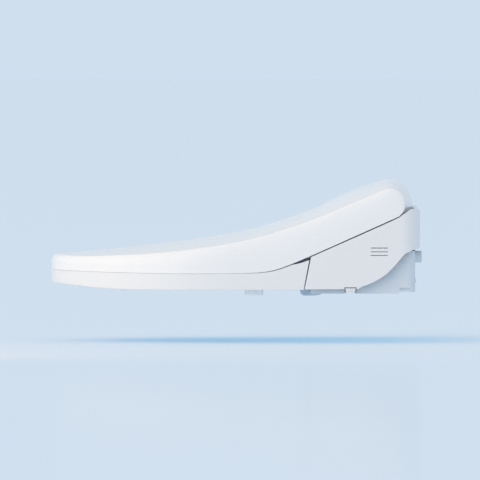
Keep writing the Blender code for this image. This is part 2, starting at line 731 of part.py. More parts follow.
def rack_outline():
    """Side outline of a nozzle's rack: its teeth point up, with one gap centred over the pinion."""
    pitch = 2 * math.pi * PINION_R / PINION_TEETH
    root, tip = 6.7, 8.3
    outline = [(NOZZLE_LENGTH, 5.2), (NOZZLE_LENGTH, root)]
    count = int((NOZZLE_LENGTH - RACK_START) / pitch)
    first = PINION_T + pitch / 2
    for k in range(count, -3, -1):
        t = first + pitch * k
        if RACK_START + 1.2 < t < NOZZLE_LENGTH - 1.2:
            outline += [(t + 0.85, root), (t + 0.35, tip), (t - 0.35, tip), (t - 0.85, root)]
    return outline + [(RACK_START, root), (RACK_START, 5.2)]


def nozzle(name, sign):
    """A nozzle tube with a rack along its top, its tip, its pinion and the motor that drives it."""
    x = sign * NOZZLE_X
    tip_length = 14.0
    barrel = extruded(circle((x, 0), NOZZLE_R, 20), "y", tip_length + GAP, NOZZLE_LENGTH)
    body = add_object(f"{name}_nozzle", on_nozzle_line(barrel), gloss_white(), line_point(x, 0, 0))
    rack = extruded(rack_outline(), "x", x - 2.2, x + 2.2)
    boolean(body, on_nozzle_line(rack), "UNION")
    sections = []
    for along, radius in ((0.0, 3.4), (0.8, 4.8), (2.4, 5.7), (4.5, NOZZLE_R), (tip_length, NOZZLE_R)):
        sections.append([(p, along, q) for p, q in circle((x, 0), radius, 20)])
    round_end = on_nozzle_line(loft(sections, False))
    tip = add_object(f"{name}_nozzle_tip", round_end, steel(), line_point(x, 0, 0))
    for k in range(3 if sign > 0 else 2):
        hole = extruded(circle((x, 4.5 + 3.0 * k), 0.7, 8), "z", 2.5, 8)
        boolean(tip, on_nozzle_line(hole))
    pitch_line = 7.6
    centre = pitch_line + PINION_R
    tooth = ((-0.227, 4.9), (-0.1, 6.7), (0.1, 6.7), (0.227, 4.9))
    outline = toothed_outline((PINION_T, centre), PINION_TEETH, tooth, -90)
    low, high = sorted((sign * (NOZZLE_X - 2.0), sign * (NOZZLE_X + 2.0)))
    pinion = extruded(outline, "x", low, high)
    origin = line_point(x, PINION_T, centre)
    gear = add_object(f"{name}_pinion", on_nozzle_line(pinion), brass(), origin, 20)
    boolean(gear, on_nozzle_line(extruded(circle((PINION_T, centre), 1.6, 12), "x", low - 1, high + 1)))
    low, high = sorted((sign * 14.8, sign * 31.0))
    motor = extruded(circle((PINION_T, centre), 9.0, 20), "x", low, high)
    motor_body = add_object(f"{name}_motor", on_nozzle_line(motor), steel())
    low, high = sorted((sign * (NOZZLE_X - 3.5), sign * 15.0))
    shaft = extruded(circle((PINION_T, centre), 1.2, 12), "x", low, high)
    boolean(motor_body, on_nozzle_line(shaft), "UNION")


def nozzle_cradle():
    groove = NOZZLE_R + 0.5
    low, high = -9.5, 1.0
    section = [(-22.0, low), (22.0, low), (22.0, high)]
    for x in (NOZZLE_X, -NOZZLE_X):
        section.append((x + groove, high))
        section += arc((x, 0), groove, 0, -180, 8)
        section.append((x - groove, high))
    section.append((-22.0, high))
    start, end = 32.0, 146.0
    cradle = add_object("nozzle_cradle", on_nozzle_line(extruded(section, "y", start, end)), matte_white())
    foot = box((-35.0, 35.0), (start + 1, start + 12), (low - 1.0, low + 3.0))
    boolean(cradle, on_nozzle_line(foot), "UNION")
    for sign in (1, -1):
        x0, x1 = sorted((sign * 31.5, sign * 34.5))
        cheek = box((x0, x1), (start + 2, start + 11), (low, 21.0))
        boolean(cradle, on_nozzle_line(cheek), "UNION")


# ---------------------------------------------------------------- works inside the unit


def blower():
    low, high = 96.0, 128.0
    housing = cylinder("blower_housing", "x", BLOWER_CENTRE, 29, low, high, dark_plastic(), sides=28)
    boolean(housing, box((low + 4, high - 4), (-14.0, BLOWER_CENTRE[0]), (14.2, 31.0)), "UNION")
    boolean(housing, extruded(circle(BLOWER_CENTRE, 26.5, 28), "x", low + 2.5, high + 1))
    boolean(housing, box((low + 6, high - 6), (-20.0, 20.0), (16.2, 29.0)))
    blade = ((-0.42, 10.0), (-0.12, 23.0), (0.12, 23.0), (0.42, 10.0))
    outline = toothed_outline(BLOWER_CENTRE, 14, blade)
    origin = (0, *BLOWER_CENTRE)
    add_object("blower_impeller", extruded(outline, "x", low + 5, high - 6), matte_white(), origin, 20)


def dryer_duct():
    """Leads from the blower's mouth down to the chin, and is open at both ends."""
    wall = 2.0
    mouths = (
        (-14.5, 100, 124, 14.2, 31.0, 3.0),
        (-30.0, 70, 110, 10.0, 24.0, 0.0),
        (-46.2, 30, 60, 7.6, 17.4, -3.0),
    )
    outer = []
    inner = []
    for y, x0, x1, z0, z1, overshoot in mouths:
        outer.append([(x0, y, z0), (x1, y, z0), (x1, y, z1), (x0, y, z1)])
        a, b = x0 + wall, x1 - wall
        c, d = z0 + wall, z1 - wall
        inner.append([(x, y + overshoot, z) for x, z in ((a, c), (b, c), (b, d), (a, d))])
    duct = add_object("dryer_duct", loft(outer, False), dark_plastic())
    boolean(duct, loft(inner, False))


def dryer_flap():
    hinge = (-78.6, 2.6)
    outline = [(-79.4, 3.1), (-77.9, 3.1), (-75.7, -2.2), (-77.2, -2.2)]
    add_object("dryer_flap", extruded(outline, "x", 27.5, 58.5), inner_grey(), (0, *hinge))


def deodoriser():
    housing = add_object("deodoriser_housing", box((-118, -74), (-40, -20), (8.0, 42.0)), dark_plastic())
    centre = (-96.0, 25.0)
    boolean(housing, extruded(circle(centre, 15), "y", -60, 0))
    outline = toothed_outline(centre, 9, ((-0.4, 5.0), (-0.22, 13.5), (0.22, 13.5), (0.4, 5.0)))
    origin = (centre[0], 0, centre[1])
    add_object("deodoriser_fan", extruded(outline, "y", -37, -24), matte_white(), origin, 20)
    outline = rounded_box_outline((-118, -74), (8.0, 42.0), 4.0, 2)
    add_object("carbon_cartridge", extruded(outline, "y", -19.5, 8.0), dark_plastic())


def water_parts():
    heater = rounded_box_outline((-168, -100), (12.0, 68.0), 8.0)
    add_object("water_heater", extruded(heater, "z", 7.5, 46.0), steel())
    pump = extruded(circle((-66, 24), 14, 20), "y", 14, 62)
    add_object("air_pump", pump, dark_plastic())
    inlet_axis = (INLET_X, INLET_Z)
    inlet = cylinder("water_inlet", "y", inlet_axis, 8.4, 81.6, 91.1, inner_grey())
    boolean(inlet, extruded(circle(inlet_axis, 7.0), "y", 72.0, 85.0), "UNION")
    boolean(inlet, extruded(circle(inlet_axis, 4.6), "y", 76.0, 95.0))
    valve = rounded_box_outline((INLET_X - 15, INLET_X + 15), (INLET_Z - 12, INLET_Z + 8.5), 3.0, 2)
    body = add_object("inlet_valve", extruded(valve, "y", 62.0, 71.6), brass())
    boolean(body, box((INLET_X - 7, INLET_X + 15), (64.0, 71.6), (INLET_Z - 30, INLET_Z - 11)), "UNION")
    drain_axis = (DRAIN_X, DRAIN_Z)
    drain = cylinder("drain_plug", "y", drain_axis, 2.4, 72.0, 86.4, matte_white(), sides=16)
    boolean(drain, extruded(circle(drain_axis, 4.4, 20), "y", 81.6, 83.2), "UNION")
    boolean(drain, box((DRAIN_X - 3, DRAIN_X + 3), (85.6, 88.0), (DRAIN_Z - 0.5, DRAIN_Z + 0.5)))


def cord_gland():
    axis = (GLAND_Y, GLAND_Z)
    gland = cylinder("cord_gland", "x", axis, 7.5, -182.0, -PAN_HALF_X - GAP, dark_plastic())
    boolean(gland, extruded(circle(axis, 5.0), "x", -180.0, -169.0), "UNION")
    boolean(gland, extruded(circle(axis, 3.4, 16), "x", -190.0, -160.0))


def electronics():
    add_object("control_board", box((-166, -64), (10.0, 72.0), (52.0, 53.6)), green_board())
    module = rounded_box_outline((-150, -96), (18.0, 62.0), 3.0, 2)
    add_object("power_module", extruded(module, "z", 53.9, 74.0), dark_plastic())


def buttons():
    for name, (y, radius) in AUX_BUTTONS.items():
        axis = (y, BUTTON_Z)
        if name == "lens":
            cylinder("status_lens", "x", axis, radius, -190.2, -186.0, dark_plastic(), sides=20)
            continue
        origin = (-190.6, *axis)
        cap = cylinder(f"aux_button_{name}", "x", axis, radius, -190.8, -184.0, matte_white(), origin)
        boolean(cap, extruded(circle(axis, radius + 2), "x", -186.6, -184.0), "UNION")
    outline = [(-16.9, 7.9), (-15.0, 1.0), (-4.0, 1.0), (-2.1, 7.9)]
    add_object("release_button", extruded(outline, "x", 152, 189.2), matte_white(), (189.2, -9.5, 4.5))


def build():
    clear_scene()
    upper_casing()
    base_pan()
    nozzle_housing()
    mounting_plate()
    hinge_brackets()
    nozzle_cradle()
    nozzle("rear_wash", 1)
    nozzle("front_wash", -1)
    blower()
    dryer_duct()
    dryer_flap()
    deodoriser()
    water_parts()
    cord_gland()
    electronics()
    buttons()
    seat_ring()
    seat_arms()
    seat_bumpers()
    lid_shell()
    lid_fittings()


build()
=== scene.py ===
"""Looks of the electric bidet seat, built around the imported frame.

Shapes are worked out in millimetres and become metres when a mesh is made. +Z is up, the front points to -Y,
and +X is the sitting user's left, which faces the camera.
"""

import json
import math

import bmesh
import bpy
from mathutils import Matrix, Vector

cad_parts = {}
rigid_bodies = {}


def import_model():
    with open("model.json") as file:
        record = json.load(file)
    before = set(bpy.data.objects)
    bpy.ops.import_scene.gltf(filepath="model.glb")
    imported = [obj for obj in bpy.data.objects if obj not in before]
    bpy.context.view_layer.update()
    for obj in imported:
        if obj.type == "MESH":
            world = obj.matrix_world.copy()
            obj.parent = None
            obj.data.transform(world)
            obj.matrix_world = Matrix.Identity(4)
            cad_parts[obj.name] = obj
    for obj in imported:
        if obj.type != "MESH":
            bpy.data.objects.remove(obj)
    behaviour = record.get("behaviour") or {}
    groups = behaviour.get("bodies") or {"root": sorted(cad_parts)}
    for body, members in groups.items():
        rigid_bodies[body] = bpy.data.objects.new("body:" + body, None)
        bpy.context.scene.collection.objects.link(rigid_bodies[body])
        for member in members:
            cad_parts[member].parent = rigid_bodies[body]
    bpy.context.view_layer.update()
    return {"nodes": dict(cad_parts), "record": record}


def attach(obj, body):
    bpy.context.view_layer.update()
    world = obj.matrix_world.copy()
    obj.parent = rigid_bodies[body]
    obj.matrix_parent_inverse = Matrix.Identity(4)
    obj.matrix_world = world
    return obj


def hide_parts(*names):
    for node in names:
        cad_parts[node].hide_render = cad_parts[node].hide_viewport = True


MM = 0.001
SAME_POINT = 0.0004
FLAT_POINT = 0.01
SIDES = (("left", 1), ("right", -1))

# Plan and split line, shared with the CAD part
HALF_WIDTH = 190.0
FRONT_Y = -430.0
FRONT_CENTRE_Y = -165.0
FRONT_POWER = 2.15
REAR_Y = 88.0
REAR_CORNER_R = 25.0
WALL = 3.0
SPLIT_LOW_Z = 27.6
SPLIT_SLOPE = 0.4505
SPLIT_KNEE_Y = -118.2
SPLIT_KNEE_SIZE = 20.0
SPLIT_FRONT_RISE = 3.4
SEAM_LOW = (-73.4, 7.5)
SEAM_HIGH = (-64.6, 52.2)

# Lid
LID_EDGE = ((-430, 52.0), (-375, 51.4), (-265, 57.6), (-155, 74.0), (-70, 99.8), (0, 128.2),
            (39.6, 145.4))
LID_CROWN = ((-430, 12.0), (-265, 12.5), (-70, 12.5), (-24, 16.0), (6, 16.0), (39.6, 11.5))
LID_EDGE_R = 6.5
LID_BULGE = 0.75
LID_REAR_SIDE_Y = 39.6
RIM_DEGREES = (0, 4, 8, 12, 16, 21, 26, 32, 38, 44, 51, 58, 65, 72, 80)
CROWN_POWER = 2.5
NOSE_SIDE_R = 20.5
NOSE_CROWN_R = 31.0
NOSE_END = -52.0
NOSE_FOOT_Y = 56.7
NOSE_SWEEP_R = 22.6
STOP_X = 70
STOP_Y = -380

# Seat
SEAT_REAR_Y = -75.0
SEAT_BOTTOM_Z = 5.3
SEAT_TIP_LIFT = 8.4
SEAT_CROWN = 3.2
OPENING_CENTRE_Y = -235.0
OPENING_HALF_WIDTH = 105.0
OPENING_HALF_LENGTH = 127.0
OPENING_POWER = 2.2
NOZZLE_ARCH_RISE = 9.0
ARM_R = 13.0
ARM_X = (150.0, 171.0)
ARM_LOW = 3.7
ARM_HIGH = 19.0

# Hinge
AXIS = (47.5, 126.5)
TROUGH_R = 33.5
TIGHT_BORE_R = 5.3
FREE_BORE_R = 5.5
DAMPER_R = 12.0
BRACKET_R = 16.0
BRACKET_X = (104.0, 132.0)
BUSH_X = (174.0, 186.7)
SHAFT_X = (92.0, 186.0)

# Nozzles
NOZZLE_ANGLE = math.radians(25.4)
NOZZLE_TIP = (0.0, -70.0, 4.5)
NOZZLE_X = 10.0
NOZZLE_LENGTH = 135.0
PINION_R = 6.0
PINION_TEETH = 12
PINION_PLACE = 31.5
RACK_START = 27.0
RACK_ROOT = 6.7
RACK_TIP = 8.3

# Unit
CASING_DROP = 1.1
CASING_SKIN_X = 187.0
PAN_HALF_X = 176.0
PAN_REAR_Y = 81.3
PAN_WALL = 2.5
PAN_CORNER_R = 12.0
INLET = (128.0, 51.0)
DRAIN = (-134.0, 12.3)
CORD = (64.0, 30.0)
BOLT_X = 70.0
BUTTON_Z = 46.0
AUX_BUTTONS = {"aux_button_wash": (-22.0, 7.0), "aux_button_stop": (0.0, 7.0)}
LENS = (20.0, 4.0)

# Stage
FLOOR_Z = -0.070
FLOOR_REACH = 60.0
FLOOR_DARK = (0.780, 0.600, 0.380)
FLOOR_LIGHT = (0.784, 0.604, 0.384)
FLOOR_GLOW = (0.075, 0.314, 0.602)
FLOOR_ROUGHNESS = 0.9
FLOOR_SHEEN = 0.26
SHEEN_ROUGHNESS = 0.09
BACKGROUND = (0.631, 0.738, 0.855)
SKY_TOP = (0.56, 0.62, 0.69)
LIGHT_COLOUR = (1.0, 0.78, 0.56)
SUN_FROM = (0.28, -0.40, 0.30)
SUN_WIDTH = 80.0
SUN_POWER = 1.2
SOFTBOX_PLACE = (0.70, -0.90, 0.15)
SOFTBOX_AIM = (0.10, -0.35, 0.03)
SOFTBOX_SIZE = 0.9
SOFTBOX_POWER = 1.2
CAMERA_DISTANCE = 20.0
CAMERA_ELEVATION = math.radians(1.0)
AIM = (0.1, -0.164, 0.0738)
FRAME_WIDTH = 0.6744


for startup in list(bpy.data.objects):
    bpy.data.objects.remove(startup)
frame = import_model()
record = frame["record"]
body_of_node = {
    node: body for body, nodes in record["behaviour"]["bodies"].items() for node in nodes
}
slot_of_node = {part["node"]: part["material_slot"] for part in record["subparts"]}


# ---------------------------------------------------------------- materials


class Shader:
    """A Principled material whose colour, roughness and relief vary with the object's own coordinates."""

    def __init__(self, name, **values):
        self.material = bpy.data.materials.new(name)
        self.material.use_nodes = True
        self.tree = self.material.node_tree
        self.shader = self.tree.nodes["Principled BSDF"]
        for socket, value in values.items():
            self.shader.inputs[socket.replace("_", " ")].default_value = value
        self.place = self.tree.nodes.new("ShaderNodeTexCoord").outputs["Object"]
        self.normal = None

    def link(self, source, target):
        self.tree.links.new(source, target)

    def stretched(self, scale):
        mapping = self.tree.nodes.new("ShaderNodeMapping")
        mapping.inputs["Scale"].default_value = scale
        self.link(self.place, mapping.inputs["Vector"])
        return mapping.outputs["Vector"]

    def noise(self, scale, detail=3.0, stretch=(1, 1, 1)):
        node = self.tree.nodes.new("ShaderNodeTexNoise")
        node.inputs["Scale"].default_value = scale
        node.inputs["Detail"].default_value = detail
        self.link(self.stretched(stretch), node.inputs["Vector"])
        return node.outputs["Fac"]

    def cells(self, scale):
        node = self.tree.nodes.new("ShaderNodeTexVoronoi")
        node.inputs["Scale"].default_value = scale
        self.link(self.place, node.inputs["Vector"])
        return node.outputs["Distance"]

    def spread(self, source, low, high, start=0.3, end=0.7):
        node = self.tree.nodes.new("ShaderNodeMapRange")
        node.inputs["From Min"].default_value = start
        node.inputs["From Max"].default_value = end
        node.inputs["To Min"].default_value = low
        node.inputs["To Max"].default_value = high
        self.link(source, node.inputs["Value"])
        return node.outputs["Result"]

    def colour(self, source, dark, light, start=0.3, end=0.7):
        ramp = self.tree.nodes.new("ShaderNodeValToRGB")
        ramp.color_ramp.elements[0].position = start
        ramp.color_ramp.elements[0].color = (*dark, 1)
        ramp.color_ramp.elements[1].position = end
        ramp.color_ramp.elements[1].color = (*light, 1)
        self.link(source, ramp.inputs["Fac"])
        self.link(ramp.outputs["Color"], self.shader.inputs["Base Color"])

    def roughness(self, source, low, high):
        self.link(self.spread(source, low, high, 0.1, 0.9), self.shader.inputs["Roughness"])

    def relief(self, source, depth_mm, strength=1.0):
        bump = self.tree.nodes.new("ShaderNodeBump")
        bump.inputs["Strength"].default_value = strength
        bump.inputs["Distance"].default_value = depth_mm * MM
        self.link(source, bump.inputs["Height"])
        if self.normal is not None:
            self.link(self.normal, bump.inputs["Normal"])
        self.normal = bump.outputs["Normal"]
        self.link(self.normal, self.shader.inputs["Normal"])


def gloss_white():
    """High-gloss moulded plastic: nearly even, with a trace of flow shading, haze and orange peel."""
    made = Shader("gloss_white", Coat_Weight=0.35, Coat_Roughness=0.08)
    made.colour(made.noise(5, 1), (0.915, 0.916, 0.920), (0.930, 0.931, 0.934), 0.1, 0.9)
    made.roughness(made.noise(12, 1), 0.23, 0.31)
    made.relief(made.noise(160, 0), 0.0006, 0.4)
    return made.material


def shaded_casing_white():
    """The seat's and casing's white: the same plastic in a satin finish, with painted shade: its colour is a
    shade greyer than the lid's, for the lesser light on the seat and casing.
    """
    made = Shader("shaded_casing_white", Coat_Weight=0.25, Coat_Roughness=0.12)
    # painted shade: the lid's white made greyer for the seat and casing
    made.colour(made.noise(6, 1), (0.852, 0.856, 0.864), (0.872, 0.874, 0.880), 0.1, 0.9)
    made.roughness(made.noise(14, 1), 0.27, 0.36)
    made.relief(made.noise(1800, 1), 0.002, 0.5)
    return made.material


def matte_white():
    """Spark-eroded white plastic, as on arms, plates and keys."""
    made = Shader("matte_white", Specular_IOR_Level=0.45)
    made.colour(made.noise(16, 4), (0.80, 0.81, 0.825), (0.85, 0.858, 0.868))
    made.roughness(made.noise(60, 4), 0.42, 0.58)
    made.relief(made.noise(3800, 3), 0.03, 0.7)
    made.relief(made.cells(1900), 0.02, 0.5)
    return made.material


def inner_grey():
    """Cool light grey of the lower shell, satin with a fine moulded grain. Its blue tint is partly the
    plastic's own tone and partly painted shade, for the shade that the lower shell sits in.
    """
    made = Shader("inner_grey", Specular_IOR_Level=0.4)
    # partly painted shade: a bluer grey for the shaded lower shell
    made.colour(made.noise(12, 3), (0.700, 0.760, 0.815), (0.735, 0.790, 0.840))
    made.roughness(made.noise(50, 4), 0.38, 0.52)
    made.relief(made.noise(3200, 3), 0.025, 0.6)
    return made.material


def water_inlet_plastic():
    made = Shader("water_inlet_plastic", Specular_IOR_Level=0.45)
    made.colour(made.noise(60, 4), (0.84, 0.88, 0.90), (0.89, 0.92, 0.94))
    made.roughness(made.noise(120, 4), 0.32, 0.48)
    made.relief(made.noise(4200, 3), 0.02, 0.6)
    return made.material


def dark_plastic():
    """Near-black housing plastic with a coarse eroded grain and paler scuffs."""
    made = Shader("dark_plastic", Specular_IOR_Level=0.45)
    made.colour(made.noise(45, 5), (0.055, 0.060, 0.068), (0.095, 0.102, 0.112))
    made.roughness(made.noise(90, 5), 0.40, 0.62)
    made.relief(made.cells(1500), 0.05, 0.6)
    return made.material


def rubber():
    made = Shader("rubber", Specular_IOR_Level=0.3, Sheen_Weight=0.15, Sheen_Roughness=0.5)
    made.colour(made.noise(80, 4), (0.88, 0.91, 0.93), (0.93, 0.95, 0.96))
    made.roughness(made.noise(150, 4), 0.62, 0.80)
    made.relief(made.noise(2600, 4), 0.05, 0.7)
    return made.material


def steel():
    """Brushed stainless steel: the grain runs along X."""
    made = Shader("steel", Metallic=1.0)
    grain = made.noise(900, 5, (0.03, 1, 1))
    made.colour(grain, (0.56, 0.57, 0.59), (0.70, 0.71, 0.73))
    made.roughness(grain, 0.20, 0.38)
    made.relief(grain, 0.008, 0.6)
    return made.material


def brass():
    """Machined brass with fine turning marks and a little tarnish."""
    made = Shader("brass", Metallic=1.0)
    made.colour(made.noise(70, 5), (0.62, 0.45, 0.21), (0.80, 0.63, 0.33))
    made.roughness(made.noise(160, 5), 0.24, 0.42)
    made.relief(made.noise(1600, 3, (1, 0.1, 1)), 0.01, 0.6)
    return made.material


def circuit_board():
    """Green solder mask over copper tracks, which run square to each other."""
    made = Shader("circuit_board", Coat_Weight=0.3, Coat_Roughness=0.2)
    tracks = made.tree.nodes.new("ShaderNodeTexBrick")
    tracks.inputs["Scale"].default_value = 90
    tracks.inputs["Mortar Size"].default_value = 0.08
    tracks.inputs["Color1"].default_value = (0.020, 0.150, 0.070, 1)
    tracks.inputs["Color2"].default_value = (0.030, 0.185, 0.090, 1)
    tracks.inputs["Mortar"].default_value = (0.085, 0.300, 0.130, 1)
    made.link(made.place, tracks.inputs["Vector"])
    made.link(tracks.outputs["Color"], made.shader.inputs["Base Color"])
    made.roughness(made.noise(200, 3), 0.30, 0.50)
    made.relief(tracks.outputs["Fac"], 0.03, 0.6)
    return made.material


def lens_plastic():
    made = Shader("lens_plastic", Coat_Weight=0.6, Coat_Roughness=0.05)
    made.colour(made.cells(900), (0.030, 0.036, 0.045), (0.065, 0.075, 0.090))
    made.roughness(made.noise(300, 3), 0.10, 0.22)
    return made.material


MATERIALS = {
    "gloss_white": gloss_white(),
    "matte_white": matte_white(),
    "inner_grey": inner_grey(),
    "water_inlet_plastic": water_inlet_plastic(),
    "dark_plastic": dark_plastic(),
    "rubber": rubber(),
    "steel": steel(),
    "brass": brass(),
    "circuit_board": circuit_board(),
}
# the seat's and casing's white, with painted shade greying it against the lid
SHADED_CASING_WHITE = shaded_casing_white()


# ---------------------------------------------------------------- mesh tools


def from_faces(points, faces):
    made = bmesh.new()
    verts = [made.verts.new(point) for point in points]
    for face in faces:
        corners = [verts[i] for i in face]
        if len({tuple(round(c, 4) for c in v.co) for v in corners}) >= 3:
            made.faces.new(corners)
    bmesh.ops.remove_doubles(made, verts=made.verts, dist=SAME_POINT)
    bmesh.ops.recalc_face_normals(made, faces=made.faces)
    return made


def placed(axis, p, q, a):
    """A point from a pair across an axis, (y, z) or (x, z) or (x, y), and a distance along it."""
    return {"x": (a, p, q), "y": (p, a, q), "z": (p, q, a)}[axis]


def loft(sections, closed=False):
    """A skin over equal-length closed sections. An open loft gets its two end sections as caps."""
    count = len(sections[0])
    points = [point for section in sections for point in section]
    spans = len(sections) if closed else len(sections) - 1
    faces = []
    for i in range(spans):
        a = i * count
        b = (i + 1) % len(sections) * count
        faces += [[a + k, a + (k + 1) % count, b + (k + 1) % count, b + k] for k in range(count)]
    if not closed:
        faces += [list(range(count)), [len(points) - count + k for k in range(count)]]
    return from_faces(points, faces)


def extruded(outline, axis, low, high):
    return loft([[placed(axis, p, q, a) for p, q in outline] for a in (low, high)])


def box(x, y, z):
    return extruded([(x[0], y[0]), (x[1], y[0]), (x[1], y[1]), (x[0], y[1])], "z", z[0], z[1])


def arc(centre, radius, start, end, steps):
    angles = [math.radians(start + (end - start) * i / steps) for i in range(steps + 1)]
    return [(centre[0] + radius * math.cos(a), centre[1] + radius * math.sin(a)) for a in angles]


def circle(centre, radius, sides=64):
    return arc(centre, radius, 0, 360, sides)[:-1]


def rounded_box_outline(p, q, radius, steps=8):
    outline = []
    for cp, cq, start in ((p[1], q[1], 0), (p[0], q[1], 90), (p[0], q[0], 180), (p[1], q[0], 270)):
        inner_p = cp - radius if cp == p[1] else cp + radius
        inner_q = cq - radius if cq == q[1] else cq + radius
        outline += arc((inner_p, inner_q), radius, start, start + 90, steps)
    return outline


def lathe(axis, centre, profile, sides=72, bored=False):
    """Turns (along, radius) pairs about an axis. A bored profile is a closed loop clear of the axis."""
    sections = []
    for i in range(sides):
        a = 2 * math.pi * i / sides
        section = []
        for along, radius in profile:
            p = centre[0] + radius * math.cos(a)
            q = centre[1] + radius * math.sin(a)
            section.append(placed(axis, p, q, along))
        sections.append(section)
    if bored:
        return loft(sections, True)
    count = len(profile)
    points = [point for section in sections for point in section]
    faces = []
    for i in range(sides):
        a = i * count
        b = (i + 1) % sides * count
        for k in range(count - 1):
            corners = [a + k, a + k + 1, b + k + 1, b + k]
            if profile[k][1] == 0:
                corners = [a + k, a + k + 1, b + k + 1]
            elif profile[k + 1][1] == 0:
                corners = [a + k, a + k + 1, b + k]
            faces.append(corners)
    return from_faces(points, faces)


def add_object(name, data):
    obj = bpy.data.objects.new(name, data)
    bpy.context.scene.collection.objects.link(obj)
    return obj


def combine(base, other, operation="DIFFERENCE"):
    """The Boolean of two meshes. Both are used up."""
    objects = []
    for name, data in (("base", base), ("other", other)):
        mesh = bpy.data.meshes.new(name)
        data.to_mesh(mesh)
        data.free()
        objects.append(add_object(name, mesh))
    modifier = objects[0].modifiers.new("combine", "BOOLEAN")
    modifier.operation = operation
    modifier.object = objects[1]
    evaluated = objects[0].evaluated_get(bpy.context.evaluated_depsgraph_get())
    made = bmesh.new()
    made.from_mesh(evaluated.to_mesh())
    evaluated.to_mesh_clear()
    for obj in objects:
        bpy.data.objects.remove(obj)
    return made


def cut(base, outline, axis, low, high):
    return combine(base, extruded(outline, axis, low, high))


def mirrored(pair, sign):
    """The same span of x on the side that the sign says, low end first."""
    return sorted((sign * pair[0], sign * pair[1]))


def merge_flat_faces(data):
    bmesh.ops.remove_doubles(data, verts=data.verts, dist=FLAT_POINT)
    bmesh.ops.dissolve_limit(data, angle_limit=math.radians(0.6), verts=data.verts, edges=data.edges)


def add_piece(data, node, edge=0.0, steps=3, sharp=35, material=None):
    """Makes a piece from a mesh in millimetres. It stands for the node, with its body and material slot."""
    name = f"{node}_fine"
    if not data.faces:
        raise ValueError(f"{name} came out with no faces")
    bmesh.ops.recalc_face_normals(data, faces=data.faces)
    data.transform(Matrix.Scale(MM, 4))
    mesh = bpy.data.meshes.new(name)
    data.to_mesh(mesh)
    data.free()
    mesh.shade_smooth()
    mesh.set_sharp_from_angle(angle=math.radians(sharp))
    mesh.materials.append(material or MATERIALS[slot_of_node[node]])
    obj = add_object(name, mesh)
    if edge:
        round_edges(obj, edge, steps, sharp)
    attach(obj, body_of_node[node])
    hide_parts(node)


def round_edges(obj, width_mm, steps, sharp):
    bevel = obj.modifiers.new("edges", "BEVEL")
    bevel.width = width_mm * MM
    bevel.segments = steps
    bevel.limit_method = "ANGLE"
    bevel.angle_limit = math.radians(sharp)
    bevel.use_clamp_overlap = True
    bevel.miter_outer = "MITER_ARC"
    normals = obj.modifiers.new("normals", "WEIGHTED_NORMAL")
    normals.keep_sharp = True
    normals.weight = 80


# ---------------------------------------------------------------- shared curves


def clamped(value):
    return min(max(value, 0.0), 1.0)


def smooth_curve(points, at):
    """The height at a place along a smooth curve through points; a slope comes from a point's neighbours."""
    last = len(points) - 1
    at = min(max(at, points[0][0]), points[-1][0])
    slopes = []
    for i in range(last + 1):
        a = points[max(i - 1, 0)]
        b = points[min(i + 1, last)]
        slopes.append((b[1] - a[1]) / (b[0] - a[0]))
    i = max(k for k in range(last) if points[k][0] <= at)
    (y0, z0), (y1, z1) = points[i], points[i + 1]
    span = y1 - y0
    t = (at - y0) / span
    return (
        z0 * (1 + 2 * t) * (1 - t) ** 2
        + slopes[i] * span * t * (1 - t) ** 2
        + z1 * t * t * (3 - 2 * t)
        + slopes[i + 1] * span * t * t * (t - 1)
    )


def rounded_path(points, steps=6):
    """The points of an open line with smooth bends through them."""
    made = []
    last = len(points) - 1
    for i in range(last):
        p0, p1, p2, p3 = (Vector(points[min(max(i + k, 0), last)]) for k in (-1, 0, 1, 2))
        for j in range(steps):
            t = j / steps
            bent = 2 * p1 + (p2 - p0) * t + (2 * p0 - 5 * p1 + 4 * p2 - p3) * t * t
            bent += (3 * p1 - p0 - 3 * p2 + p3) * t**3
            made.append(tuple(bent / 2))
    return made + [tuple(points[-1])]


def split_gap(y):
    """Half the gap along the split line: fine at the front, wider beside the hinge."""
    return 0.15 + 0.6 * clamped((y + 160.0) / 60.0)


def split_z(y):
    """Height of the line between the lid and what is below it."""
    s = y - SPLIT_KNEE_Y
    climb = SPLIT_SLOPE * (s + math.hypot(s, SPLIT_KNEE_SIZE)) / 2
    front = clamped((-250.0 - y) / 180.0)
    return SPLIT_LOW_Z + climb + SPLIT_FRONT_RISE * front**1.2


def even_steps(start, end, count):
    return [start + (end - start) * i / count for i in range(count + 1)]


def plan_outline(inset, front_steps, sides):
    """(x, y) pairs down the right side, round the front and up the left. The sides are y, rear first."""
    width = HALF_WIDTH - inset
    depth = FRONT_CENTRE_Y - FRONT_Y - inset
    power = 2 / FRONT_POWER
    outline = [(-width, y) for y in sides]
    for i in range(front_steps + 1):
        a = math.pi * i / front_steps
        x = -math.copysign(abs(math.cos(a)) ** power, math.cos(a)) * width
        outline.append((x, FRONT_CENTRE_Y - depth * abs(math.sin(a)) ** power))
    return outline + [(width, y) for y in reversed(sides)]


def seam_y(z):
    slope = (SEAM_HIGH[0] - SEAM_LOW[0]) / (SEAM_HIGH[1] - SEAM_LOW[1])
    return SEAM_LOW[0] + slope * (z - SEAM_LOW[1])


# ---------------------------------------------------------------- lid


def lid_top(y, v):
    return smooth_curve(LID_EDGE, y) + smooth_curve(LID_CROWN, y) * (1 - v**CROWN_POWER)


def nose_foot(share):
    """(y, z) of the lid's lower edge beside the hinge: along the split line, then round the axis."""
    turn = 0.7
    if share <= turn:
        y = LID_REAR_SIDE_Y + (NOSE_FOOT_Y - LID_REAR_SIDE_Y) * share / turn
        return y, split_z(y) + split_gap(y)
    y, z = NOSE_FOOT_Y - AXIS[0], split_z(NOSE_FOOT_Y) + split_gap(NOSE_FOOT_Y) - AXIS[1]
    start = math.atan2(z, y)
    a = start + (math.radians(NOSE_END) - start) * (share - turn) / (1 - turn)
    r = math.hypot(y, z)
    return AXIS[0] + r * math.cos(a), AXIS[1] + r * math.sin(a)


